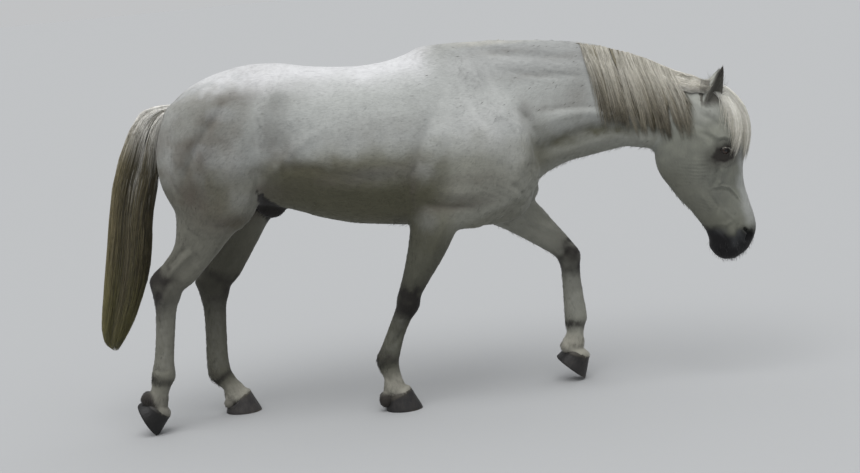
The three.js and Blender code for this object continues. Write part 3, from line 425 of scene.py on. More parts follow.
@dataclass(frozen=True)
class Leg:
    """A leg in the walk.

    Attributes:
        name: Its name, as the nodes have it.
        profile: Its sections along its bones.
        joints: X, Z and distance from the middle of each joint, down to the middle of the sole.
        sole: X and Z of the point under the hoof's middle.
        tilt: How far the hoof is turned toe down, in degrees.
        calf, shin: How much deeper the cannon is than its profile says, behind and in front.
        top: The share of its first bone above which the coat is the trunk's.
        heel: How far the heel's bulbs are behind and above the middle of the sole, and their reach.
        heel_height: The height of the hoof's heel, as a share of the usual height.
        heel_dark: How high the dark of the heel reaches, and how dark it is.
        horn, pastern: How light they are.
        tone: The coat's colour on it, greyer and darker partly for painted shade.
    """

    name: str
    side: int
    region: Region
    profile: list[Row]
    joints: list[Row]
    sole: Pair
    tilt: float
    calf: float
    shin: float
    top: float
    heel: Row
    heel_height: float
    heel_dark: Pair
    horn: float
    pastern: float
    tone: Array

    def direction(self, bone: int, share: float) -> Array:
        """The way the leg runs at a place on a bone, in X and Z."""
        turn = 0.25
        xz = np.array(self.joints)[:, :2]
        ways = [unit(xz[i + 1] - xz[i]) for i in np.clip(np.arange(bone - 1, bone + 2), 0, len(xz) - 2)]
        before = max(0.0, 0.5 - share / (2 * turn))
        after = max(0.0, 0.5 - (1 - share) / (2 * turn))
        return unit(ways[1] * (1 - before - after) + ways[0] * before + ways[2] * after)

    def stations(self) -> Array:
        """Its sections, from inside the trunk to inside the hoof."""
        joints = np.array(self.joints)
        rows = []
        for bone, share, front, back, half, square in self.profile:
            x, z, y = joints[bone] + (joints[bone + 1] - joints[bone]) * share
            run = self.direction(bone, share)
            ahead = np.array([-run[1], run[0]])
            top = np.array([x, z]) + ahead * (front + self.shin * (bone == 2))
            low = np.array([x, z]) - ahead * (back + self.calf * (bone == 2))
            rows.append((*top, *low, half, self.side * y, 0.5, square, square))
        return sections(rows)


LEGS = [
    Leg(
        "foreleg_right", RIGHT, Region.FORE_RIGHT, FORE,
        [(110, 930, 126), (48, 780, 124), (-92, 440, 106), (-190, 212, 98), (-176, 96, 96), (-160, 0, 96)],
        (-152, 0), 0, calf=2.0, shin=5.0, top=0.0, heel=(66.0, 46.0, 28.0, 25.0, 31.0), heel_height=1.05,
        heel_dark=(86.0, 1.0), horn=0.42, pastern=0.7, tone=srgb(86, 86, 75),
    ),
    Leg(
        "foreleg_left", LEFT, Region.FORE_LEFT, BENT,
        [(250, 880, 126), (330, 770, 124), (592, 514, 120), (599, 260, 118), (581, 164, 118), (551, 80, 118)],
        (552, 56), 41, calf=8.0, shin=10.0, top=0.08, heel=(62.0, 60.0, 25.0, 23.0, 25.0), heel_height=1.0,
        heel_dark=(74.0, 0.35), horn=0.36, pastern=0.85, tone=srgb(138, 138, 128),
    ),
    Leg(
        "hindleg_right", RIGHT, Region.HIND_RIGHT, HIND,
        [
            (-745, 1070, 130), (-792, 905, 132), (-1036, 608, 122), (-1090, 240, 118), (-1132, 138, 118),
            (-1172, 70, 118),
        ],
        (-1184, 65.5), 63, calf=0.0, shin=0.0, top=0.1, heel=(66.0, 50.0, 30.0, 25.0, 28.0), heel_height=0.95,
        heel_dark=(90.0, 1.0), horn=0.12, pastern=0.5, tone=srgb(117, 116, 106),
    ),
    Leg(
        "hindleg_left", LEFT, Region.HIND_LEFT, HIND,
        [
            (-690, 1060, 130), (-704, 888, 132), (-878, 560, 122), (-899, 178, 118), (-848, 92, 118),
            (-830, 0, 118),
        ],
        (-826, 0), 0, calf=12.0, shin=0.0, top=0.08, heel=(50.0, 43.0, 23.0, 23.0, 23.0), heel_height=0.5,
        heel_dark=(74.0, 0.45), horn=0.72, pastern=0.8, tone=srgb(94, 93, 82),
    ),
]


# ---- meshes


class Place:
    """Where the source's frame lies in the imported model's."""

    def __init__(self) -> None:
        low, high = (np.array(corner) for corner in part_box("eye_right"))
        x, y, z = EYE_AT
        self.origin = (low + high) / 2 - np.array([x, HEAD_Y - y, z]) * MM

    def metres(self, points: Array) -> Array:
        """Named places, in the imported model's frame."""
        return points * MM + self.origin

    def named(self, points: Array) -> Array:
        """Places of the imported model, in the named sizes' frame."""
        return (points - self.origin) / MM


PLACE = Place()


def settle(mesh: bpy.types.Mesh, angle: float | None = None) -> None:
    """Shades a mesh smooth, but for edges sharper than an angle in degrees."""
    mesh.shade_smooth()
    if angle is not None:
        mesh.set_sharp_from_angle(angle=math.radians(angle))


def piece_of(name: str, points: Array, faces: Faces | Array) -> Piece:
    """A mesh object from points in the named frame."""
    mesh = bpy.data.meshes.new(name)
    placed = PLACE.metres(np.asarray(points, float))
    if isinstance(faces, np.ndarray):
        mesh.vertices.add(len(placed))
        mesh.vertices.foreach_set("co", placed.astype(np.float32).ravel())
        mesh.loops.add(faces.size)
        mesh.loops.foreach_set("vertex_index", faces.astype(np.int32).ravel())
        mesh.polygons.add(len(faces))
        starts = np.arange(0, faces.size, faces.shape[1], dtype=np.int32)
        mesh.polygons.foreach_set("loop_start", starts)
        mesh.update(calc_edges=True)
    else:
        mesh.from_pydata(placed.tolist(), [], faces)
        mesh.update()
    return linked(name, mesh)


def linked(name: str, data: bpy.types.ID) -> Piece:
    """A new object in the scene."""
    made = bpy.data.objects.new(name, data)
    bpy.context.scene.collection.objects.link(made)
    return made


def alone(piece: Piece) -> Piece:
    """Selects one object and nothing else."""
    bpy.ops.object.select_all(action="DESELECT")
    piece.select_set(True)
    bpy.context.view_layer.objects.active = piece
    return piece


def joined(name: str, pieces: list[Piece]) -> Piece:
    """Several objects as one mesh."""
    alone(pieces[0])
    for piece in pieces[1:]:
        piece.select_set(True)
    bpy.ops.object.join()
    pieces[0].name = name
    return pieces[0]


def apply(piece: Piece, kind: str, **settings: object) -> None:
    """Adds a modifier and applies it."""
    alone(piece)
    modifier = piece.modifiers.new("work", kind)
    for key, value in settings.items():
        setattr(modifier, key, value)
    bpy.ops.object.modifier_apply(modifier="work")


class Cut(Enum):
    """What a solid does to another."""

    DIFFERENCE = "DIFFERENCE"
    INTERSECT = "INTERSECT"
    UNION = "UNION"


def cut(piece: Piece, cutter: Piece, how: Cut = Cut.DIFFERENCE) -> None:
    """Cuts one solid with another, which is then removed."""
    apply(piece, "BOOLEAN", object=cutter, operation=how.value, solver="MANIFOLD")
    bpy.data.objects.remove(cutter)


def remesh(piece: Piece, size: float) -> None:
    """One closed surface over all that the mesh holds, in even faces."""
    alone(piece)
    piece.data.remesh_voxel_size = size * MM
    piece.data.use_remesh_preserve_volume = False
    bpy.ops.object.voxel_remesh()


def pull(items: bpy.types.bpy_prop_collection, name: str, width: int, kind: type = np.float32) -> Array:
    """One property of many items, a row each."""
    found = np.empty(len(items) * width, kind)
    items.foreach_get(name, found)
    return found.reshape(-1, width)


def read(piece: Piece) -> Array:
    """A mesh's vertices in the named frame."""
    return PLACE.named(pull(piece.data.vertices, "co", 3).astype(float))


def write(piece: Piece, points: Array) -> None:
    """Sets a mesh's vertices from the named frame."""
    piece.data.vertices.foreach_set("co", PLACE.metres(points).astype(np.float32).ravel())
    piece.data.update()


def normals(piece: Piece) -> Array:
    """The way out at each vertex."""
    return pull(piece.data.vertex_normals, "vector", 3).astype(float)


def edges(piece: Piece) -> Array:
    """Each edge's two vertices."""
    return pull(piece.data.edges, "vertices", 2, np.int32)


def relax(points: Array, links: Array, weight: Array, rounds: int) -> Array:
    """Draws each vertex to its neighbours' middle, by its weight, so many times."""
    count = len(points)
    degree = np.maximum(np.bincount(links.ravel(), minlength=count), 1)
    for _ in range(rounds):
        for axis in range(3):
            value = points[:, axis]
            total = np.bincount(links[:, 0], value[links[:, 1]], count)
            total += np.bincount(links[:, 1], value[links[:, 0]], count)
            points[:, axis] = value + weight * (total / degree - value)
    return points


def colour(piece: Piece, name: str, values: Array) -> None:
    """Keeps a linear colour at each vertex."""
    rgba = np.ones((len(values), 4), np.float32)
    rgba[:, :3] = values
    layer = piece.data.color_attributes.new(name, "FLOAT_COLOR", "POINT")
    layer.data.foreach_set("color", rgba.ravel())


def triangles(piece: Piece) -> Array:
    """Each triangle's three vertices."""
    piece.data.calc_loop_triangles()
    return pull(piece.data.loop_triangles, "vertices", 3, np.int32)


def corners_of(piece: Piece) -> Array:
    """The vertex at each corner of each face."""
    return pull(piece.data.loops, "vertex_index", 1, np.int32).ravel()


def chart(piece: Piece, name: str, flat: Array) -> None:
    """Keeps a flat place for each corner of each face, as a UV map."""
    piece.data.uv_layers.new(name=name).uv.foreach_set("vector", flat.astype(np.float32).ravel())


# ---- regions


HEAD_CUT = ((1005.0, 1085.0), (0.868, -0.496))
NECK_CUT = ((400.0, 1137.0), (0.974, 0.225))
AXES = {
    Region.TORSO: [(-1010, 1150), (-600, 1150), (0, 1090), (500, 1060)],
    Region.NECK: [(330, 1100), (700, 1170), (900, 1150), (1060, 1090)],
    Region.HEAD: [(1060, 1130), (1130, 1010), (1150, 860), (1200, 640), (1220, 470)],
}


def beyond(points: Array, at: Pair, way: Pair) -> Array:
    """How far points lie past a plane that crosses the body."""
    return (points[:, 0] - at[0]) * way[0] + (points[:, 2] - at[1]) * way[1]


def along_line(points: Array, line: Array) -> tuple[Array, Array, Array]:
    """Where points lie beside a broken line in the XZ plane.

    Returns:
        How far along it, how far ahead of it (to its right hand), and how far from it.
    """
    flat = points[:, [0, 2]]
    best = np.full(len(points), 1e9)
    run, ahead = np.zeros(len(points)), np.zeros(len(points))
    passed = 0.0
    for k in range(len(line) - 1):
        step = line[k + 1] - line[k]
        length = np.linalg.norm(step)
        way = step / length
        off = flat - line[k]
        share = np.clip(off @ way, 0, length)
        gap = off - share[:, None] * way
        far = np.linalg.norm(gap, axis=1)
        closer = far < best - 1e-9
        best = np.where(closer, far, best)
        run = np.where(closer, passed + share, run)
        ahead = np.where(closer, gap @ np.array([-way[1], way[0]]), ahead)
        passed += length
    return run, ahead, best


@dataclass
class Lay:
    """Where each point lies on the body.

    Attributes:
        region: The number of its region.
        along: How far along its region's axis it is.
        around: Its angle round that axis.
        joint: On a leg, how many joints down it is. -1 elsewhere.
        low: 0 on the body to 1 on the lower legs.
    """

    region: Array
    along: Array
    around: Array
    joint: Array
    low: Array


def lay_of(points: Array) -> Lay:
    """Where points lie on the body."""
    count = len(points)
    region = np.zeros(count, int)
    region[beyond(points, *NECK_CUT) > 0] = Region.NECK
    in_head = (beyond(points, *HEAD_CUT) > 0) & (points[:, 2] < 1330)
    region[in_head] = Region.HEAD
    joint = np.full(count, -1.0)
    along, around = np.zeros(count), np.zeros(count)
    for leg in LEGS:
        joints = np.array(leg.joints)
        line = joints[1:, :2]
        lengths = np.concatenate([[0], np.cumsum(np.linalg.norm(np.diff(line, axis=0), axis=1))])
        run, ahead, far = along_line(points, line)
        top = leg.top * lengths[1]
        below = points[:, 2] < (line[0, 1] + 20)
        here = (points[:, 1] * leg.side > 8) & (run > top) & below & (far < 150 - 60 * (run > 250))
        here &= (region == Region.TORSO) | (points[:, 2] < 700) & (points[:, 0] < 760)
        region[here] = leg.region
        joint[here] = np.interp(run, lengths, np.arange(1, len(lengths) + 1))[here]
        along[here] = run[here]
        y = np.interp(run, lengths, joints[1:, 2]) * leg.side
        around[here] = np.arctan2(points[:, 1] - y, ahead)[here]
    for its, line in AXES.items():
        here = region == its
        along[here], ahead, _ = along_line(points[here], np.array(line, float))
        around[here] = np.arctan2(points[here, 1] - crest_y(points[here, 0]), ahead)
    low = np.clip(joint - 1, 0, 1)
    return Lay(region, along, around, joint, np.where(joint < 0, 0, low))


def crest_y(x: Array) -> Array:
    """The middle of the neck, which bends a little to the right towards the head."""
    return smooth(x, 560, 1180) * HEAD_Y


# Each region's corner and size on the flat layout of the coat, and the length that fills it.
SHEET = {
    Region.TORSO: (0.0, 0.0, 0.5, 0.5, 1560.0),
    Region.NECK: (0.5, 0.0, 0.24, 0.5, 800.0),
    Region.HEAD: (0.75, 0.0, 0.24, 0.5, 760.0),
    Region.FORE_RIGHT: (0.0, 0.51, 0.24, 0.48, 900.0),
    Region.FORE_LEFT: (0.25, 0.51, 0.24, 0.48, 900.0),
    Region.HIND_RIGHT: (0.5, 0.51, 0.24, 0.48, 1050.0),
    Region.HIND_LEFT: (0.75, 0.51, 0.24, 0.48, 1050.0),
}


def on_sheet(lay: Lay) -> Array:
    """Where points lie on the flat layout of the whole skin, from 0 to 1 each way."""
    flat = np.zeros((len(lay.region), 2))
    for region, (u, v, wide, high, length) in SHEET.items():
        here = lay.region == region
        flat[here, 0] = u + wide * np.clip(lay.along[here] / length, 0, 1)
        flat[here, 1] = v + high * (0.02 + 0.96 * (lay.around[here] / (2 * math.pi) + 0.5))
    return flat


# ---- modelling


@dataclass(frozen=True)
class Stroke:
    """A groove or ridge drawn on the skin, as a modelling tool would.

    Attributes:
        run: X and Z of each of its points.
        width: Its half width.
        rise: How far it lifts the skin. Below 0 it presses it in.
        shift: How much further forward it is on the left side.
        sides: The sides of the animal that have it.
        inner: Whether it is on the surface that faces the middle.
    """

    run: Row
    width: float
    rise: float
    shift: float
    sides: tuple[int, ...]
    inner: bool

    def lift(self, points: Array, ways: Array) -> Array:
        """How far it lifts each point."""
        total = np.zeros(len(points))
        line = np.reshape(np.array(self.run, float), (-1, 2))
        reach = 3 * self.width
        for side in self.sides:
            its = line + np.array([self.shift if side == LEFT else 0.0, 0.0])
            low, high = its.min(0) - reach, its.max(0) + reach
            near = (points[:, 0] > low[0]) & (points[:, 0] < high[0])
            near &= (points[:, 2] > low[1]) & (points[:, 2] < high[1])
            near &= points[:, 1] * side > -5
            if not near.any():
                continue
            run, _, far = along_line(points[near], its)
            length = np.linalg.norm(np.diff(its, axis=0), axis=1).sum()
            share = run / max(length, 1e-9)
            taper = 0.25 + 0.75 * smooth(share, 0, 0.25) * smooth(1 - share, 0, 0.25)
            facing = ways[near, 1] * side * (-1 if self.inner else 1)
            force = smooth(facing, -0.1, 0.45)
            total[near] += self.rise * np.exp(-((far / self.width) ** 2)) * taper * force
        return total


def strokes(rows: list[Row], sides: tuple[int, ...] = SIDES, inner: bool = False) -> list[Stroke]:
    """Strokes from rows of width, rise and shift, and then the points."""
    return [Stroke(tuple(run), width, rise, shift, sides, inner) for width, rise, shift, *run in rows]


@dataclass(frozen=True)
class Ripple:
    """Fine folds of the skin over a muscle.

    Attributes:
        centre, reach: Where they are and how far they go, in X and Z.
        way: The direction across the folds.
        apart: The distance between two folds.
        height: Half their height.
    """

    centre: Pair
    reach: Pair
    way: Pair
    apart: float
    height: float
    side: int

    def lift(self, points: Array, ways: Array) -> Array:
        """How far they lift each point."""
        x, z = points[:, 0] - self.centre[0], points[:, 2] - self.centre[1]
        fade = np.exp(-((x / self.reach[0]) ** 2) - (z / self.reach[1]) ** 2)
        fade *= smooth(ways[:, 1] * self.side, 0.0, 0.4) * (points[:, 1] * self.side > 0)
        bend = grain(points, self.apart * 3.5, 5) * 2.2
        phase = 2 * math.pi * (x * self.way[0] + z * self.way[1]) / self.apart
        broken = 0.55 + 0.45 * grain(points, self.apart * 2.2, 9)
        return self.height * fade * np.sin(phase + bend) * broken


# ---- the skin

# How many of the tail's sections the dock goes through, and its share of their size.
DOCK_TO, DOCK_SHARE = 5.8, 0.6
EAR_ROOT = (1163.0, 59.0, 1090.0)
EAR_LEAN = {RIGHT: (0.34, 0.17, 0.92), LEFT: (0.5, 0.36, 0.82)}
EAR_OPENS = (0.5, 0.86, -0.05)
LID = 4.5

STROKES = strokes([
    # the neck: the edge of the crest, the long muscles, the groove of the windpipe
    (15, -5, 0, 203, 1422, 275, 1416, 340, 1394, 405, 1376, 512, 1362, 640, 1345),
    (22, 4, 0, 230, 1446, 380, 1418, 520, 1398, 640, 1385),
    (13, -3.5, 0, 327, 1335, 415, 1309, 504, 1288, 623, 1275, 700, 1268),
    (24, 3, 0, 327, 1362, 440, 1338, 560, 1318, 680, 1300),
    (12, -4, 0, 491, 1158, 576, 1153, 642, 1152, 732, 1142, 840, 1125),
    (20, 6, 0, 500, 1108, 580, 1126, 660, 1130, 760, 1122, 880, 1098),
    (21, -13, 0, 470, 948, 510, 985, 560, 1022, 640, 1052, 740, 1064, 850, 1072),
    (17, 5, 0, 539, 950, 634, 988, 758, 1014, 850, 1026),
    (19, -12, 25, 410, 1170, 446, 1130, 466, 1075, 474, 1000, 470, 940),
    # the shoulder and the breast
    (20, 5, 20, 262, 1385, 277, 1282, 311, 1195, 364, 1110),
    (17, -4, 20, 300, 1350, 330, 1270, 372, 1190),
    (20, -4, 20, 196, 1370, 214, 1270, 250, 1180, 300, 1100),
    (26, 9, 40, 366, 1155, 410, 1100, 424, 1011, 400, 935, 360, 884),
    (22, -6, 30, 103, 1235, 60, 1130, 12, 1040, -14, 975),
    (34, 5, 40, 140, 1180, 100, 1080, 70, 980, 60, 900),
    (11, -9, 60, 14, 1010, -22, 965, -38, 915, -40, 850, -42, 790),
]) + strokes([
    (14, -9, 0, 190, 812, 113, 812, 49, 826, -6, 846),
], (RIGHT,)) + strokes([
    (26, 6, 60, 260, 860, 160, 868, 60, 880),
    (11, -8, 30, 250, 742, 330, 768, 385, 796, 430, 846, 458, 905),
    (20, 5, 30, 236, 775, 320, 800, 380, 836, 420, 884),
    (12, -6, 30, 346, 890, 381, 866, 405, 826),
    (22, -4, 40, 300, 985, 350, 940, 372, 890),
    # the barrel and the flank
    (19, 5, 20, -612, 968, -570, 1012, -514, 1062, -454, 1112, -395, 1150, -330, 1182),
    (26, -7, 20, -565, 975, -495, 1030, -407, 1020, -314, 990, -178, 962, -60, 962),
    (34, -6, 20, -560, 1090, -500, 1150, -450, 1200),
    (34, -3, 0, -470, 900, -330, 868, -180, 850, -60, 846),
    *((13, -1.8, 0, x, 1270, x - 26, 1170, x - 66, 1050) for x in range(-60, -351, -58)),
    # the croup and the thigh
    (24, 6, 0, -505, 1350, -545, 1300, -572, 1240),
    (17, -4, 10, -590, 1352, -618, 1262, -614, 1176, -616, 1090),
    (20, 5, 20, -560, 1300, -576, 1200, -588, 1090, -604, 1000),
    (11, -6, 35, -616, 1060, -622, 990, -648, 915, -690, 850),
    (17, -9, 20, -700, 1330, -760, 1250, -820, 1180, -863, 1110, -900, 1040, -918, 970),
    (28, 5, 20, -760, 1330, -850, 1220, -905, 1130, -940, 1040),
    (12, -5, 25, -930, 1240, -962, 1130, -958, 1020, -930, 930),
    (40, 5, 30, -640, 1240, -690, 1120, -720, 1000, -735, 900),
]) + strokes([
    (12, -9, 0, -716, 845, -765, 800, -800, 758, -832, 716),
    (24, 5, 0, -850, 880, -905, 800, -960, 715),
    (18, -4, 0, -690, 856, -740, 820, -800, 820, -860, 850),
], (RIGHT,))
LEG_STROKES = strokes([
    # the near foreleg: forearm, knee, tendons
    (11, -6, 0, 20, 790, -30, 660, -60, 560, -80, 500),
    (18, 7, 0, 86, 760, 30, 640, -20, 540),
    (14, 3, 0, -20, 760, -60, 650, -90, 560),
    (6, 5, 0, -48, 560, -62, 520, -84, 480),
    (8, -3, 0, -62, 500, -96, 492, -128, 500),
    (7, -6, 0, -88, 395, -120, 330, -158, 270),
    (8, 3, 0, -110, 392, -146, 330, -186, 270),
    (8, -3, 0, -168, 246, -196, 236, -216, 244),
    (9, -3, 0, -160, 184, -196, 176, -222, 182),
], (RIGHT,)) + strokes([
    # the far foreleg, from the inside
    (7, 7, 0, 408, 722, 450, 682, 495, 662, 533, 637, 565, 618),
    (9, -6, 0, 400, 696, 445, 656, 492, 630, 540, 604),
    (8, -5, 0, 440, 736, 490, 698, 536, 662),
    (18, 6, 0, 330, 690, 400, 646, 470, 600, 536, 552),
    (8, -4, 0, 574, 500, 590, 420, 592, 330),
], (LEFT,), inner=True) + strokes([
    (12, -4, 0, 420, 700, 480, 640, 530, 590),
    (7, -4, 0, 585, 470, 596, 400, 600, 320),
], (LEFT,)) + strokes([
    # the near hind leg: gaskin, hock, tendons
    (9, 7, 0, -905, 742, -960, 700, -1005, 660, -1040, 618),
    (10, -8, 0, -930, 760, -985, 716, -1030, 672),
    (16, -3, 0, -880, 720, -940, 672, -985, 628),
    (9, -3, 0, -1078, 640, -1070, 590, -1082, 545),
    (12, 4, 0, -1020, 600, -1044, 560, -1062, 520),
    (7, -4, 0, -1068, 500, -1078, 420, -1086, 330, -1092, 290),
    (8, -3, 0, -1064, 262, -1096, 258, -1122, 268),
    (9, -3, 0, -1084, 206, -1112, 196, -1140, 204),
], (RIGHT,)) + strokes([
    # the far hind leg, from the inside
    (9, 4, 0, -740, 690, -790, 640, -835, 590, -858, 560),
    (10, -5, 0, -770, 720, -830, 660, -880, 610),
    (8, -4, 0, -880, 520, -888, 420, -896, 300, -902, 240),
    (8, 3, 0, -905, 460, -912, 340, -920, 240),
], (LEFT,), inner=True) + strokes([
    (10, -4, 0, -790, 700, -846, 640, -886, 590),
    (7, -4, 0, -880, 500, -892, 380, -902, 250),
], (LEFT,))
HEAD_STROKES = strokes([
    (17, 3.5, 0, 1060, 1030, 1110, 1000, 1150, 950, 1168, 890, 1160, 820, 1120, 760),
    (12, -4, 0, 1076, 1064, 1136, 1020, 1176, 960, 1192, 890),
    (7, 5.5, 0, 1194, 880, 1190, 850, 1188, 815, 1172, 788),
    (9, -3.5, 0, 1176, 868, 1170, 826, 1150, 790),
    (4.5, 3.2, 0, 1150, 784, 1188, 792, 1219, 782, 1248, 748, 1266, 718, 1280, 690),
    (7, -3, 0, 1150, 772, 1190, 778, 1222, 764, 1250, 726),
    (9, -4, 0, 1251, 870, 1257, 800, 1266, 736, 1288, 676),
    (9, 3.5, 0, 1272, 880, 1277, 800, 1288, 730, 1302, 670),
    (7, -3, 0, 1130, 776, 1152, 738, 1172, 704, 1166, 670),
    (8, 2.5, 0, 1110, 760, 1130, 724, 1150, 690),
    (9, 3, 0, 1190, 700, 1214, 668, 1240, 640),
    (11, 2.6, 0, 1100, 1040, 1130, 1022, 1162, 1002, 1196, 975),
    (9, -1.8, 0, 1100, 1018, 1128, 1002, 1158, 984, 1184, 962),
    (15, 5, 0, 1091, 1150, 1127, 1110, 1166, 1079),
    (12, -4, 0, 1130, 1080, 1168, 1058, 1196, 1020),
    (4, -3, 0, 1182, 968, 1204, 975, 1228, 962, 1240, 940),
    (5, 2.5, 0, 1178, 982, 1206, 990, 1234, 976),
    (4, -2.2, 0, 1182, 896, 1202, 886, 1224, 894),
    (4, 1.8, 0, 1186, 880, 1206, 868, 1228, 876),
    (9, 3, 0, 1170, 636, 1200, 630, 1232, 648),
    (7, 3, 0, 1150, 618, 1178, 590, 1196, 556),
    (5, -2.5, 0, 1164, 612, 1192, 584, 1208, 548, 1212, 520),
    (9, 3, 0, 1152, 560, 1170, 540, 1196, 520),
    (9, -4, 0, 1250, 640, 1244, 600, 1238, 560),
    (5, 4, 0, 1262, 626, 1252, 596, 1252, 566, 1264, 546),
])
RIPPLES = [
    Ripple((-240, 1010), (170, 60), (0.25, 0.97), 24, 1.1, RIGHT),
    Ripple((-300, 900), (150, 50), (0.2, 0.98), 26, 0.9, RIGHT),
    Ripple((560, 1300), (150, 60), (0.3, 0.95), 24, 0.8, RIGHT),
    Ripple((-600, 1180), (60, 120), (0.9, 0.4), 26, 0.9, RIGHT),
    Ripple((300, 860), (110, 60), (0.5, 0.86), 22, 1.0, RIGHT),
    Ripple((-800, 780), (90, 50), (0.1, 1.0), 20, 0.8, RIGHT),
    Ripple((30, 650), (60, 80), (0.1, 1.0), 18, 0.8, RIGHT),
    Ripple((1090, 860), (70, 60), (0.12, 0.99), 15, 0.6, RIGHT),
    Ripple((1130, 720), (50, 50), (0.3, 0.95), 13, 0.5, RIGHT),
    Ripple((-780, 1010), (110, 90), (0.5, 0.86), 22, 0.7, RIGHT),
    Ripple((150, 1030), (130, 110), (0.2, 0.98), 20, 0.6, RIGHT),
    Ripple((-240, 1010), (170, 60), (0.25, 0.97), 26, 0.9, LEFT),
    Ripple((300, 860), (110, 60), (0.5, 0.86), 22, 0.9, LEFT),
]


@dataclass(frozen=True)
class Almond:
    """The opening between the lids: where two discs meet, their reach, distance apart and tilt."""

    reach: float = 24.0
    apart: float = 13.0
    tilt: float = 0.36


ALMOND = Almond()


def ball(centre: Row, reach: Row, turn: float = 0.0) -> Piece:
    """A round solid, turned about the crosswise axis by so many radians."""
    bpy.ops.mesh.primitive_uv_sphere_add(segments=64, ring_count=40, radius=1.0)
    made = bpy.context.object
    turned = Matrix.Rotation(turn, 4, "Y") @ Matrix.Diagonal((*[r * MM for r in reach], 1.0))
    made.data.transform(Matrix.Translation(PLACE.metres(np.array(centre))) @ turned)
    return made


def slab(start: Pair, way: Array, length: float, half: float) -> Piece:
    """A flat box across the whole head, from a point along a direction in the XZ plane."""
    bpy.ops.mesh.primitive_cube_add(size=1.0)
    made = bpy.context.object
    made.data.transform(Matrix.Translation((0.5, 0, 0)))
    made.data.transform(Matrix.Diagonal((length * MM, 0.6, 2 * half * MM, 1.0)))
    made.data.transform(Matrix.Rotation(-math.atan2(way[1], way[0]), 4, "Y"))
    made.data.transform(Matrix.Translation(PLACE.metres(np.array([start[0], MUZZLE_Y, start[1]]))))
    return made


def ear_frame(side: int) -> tuple[Array, Array, Array, Array]:
    """An ear's root, and the ways that its cup opens, across it, and up it."""
    up = unit(np.array(EAR_LEAN[side]) * np.array([1, side, 1]))
    opens = np.array([EAR_OPENS[0], side * EAR_OPENS[1], EAR_OPENS[2]])
    opens = unit(opens - up * (opens @ up))
    root = np.array([EAR_ROOT[0], HEAD_Y + side * EAR_ROOT[1], EAR_ROOT[2]])
    return root, opens, np.cross(up, opens), up


def in_ears(points: Array, ways: Array, low: float, high: float) -> Array:
    """How much each place faces the way that its side's ear opens, from low to high."""
    inner = np.zeros(len(points))
    for side in SIDES:
        _, opens, _, _ = ear_frame(side)
        inner = np.maximum(inner, smooth(ways @ opens, low, high) * ((points[:, 1] - HEAD_Y) * side > 0))
    return inner


def ear_points(points: Array, side: int) -> Array:
    """Places of an ear's own frame on the head."""
    root, opens, across, up = ear_frame(side)
    return root + (points * (1.02, 1.0, 1.2)) @ np.stack([opens, across, up])


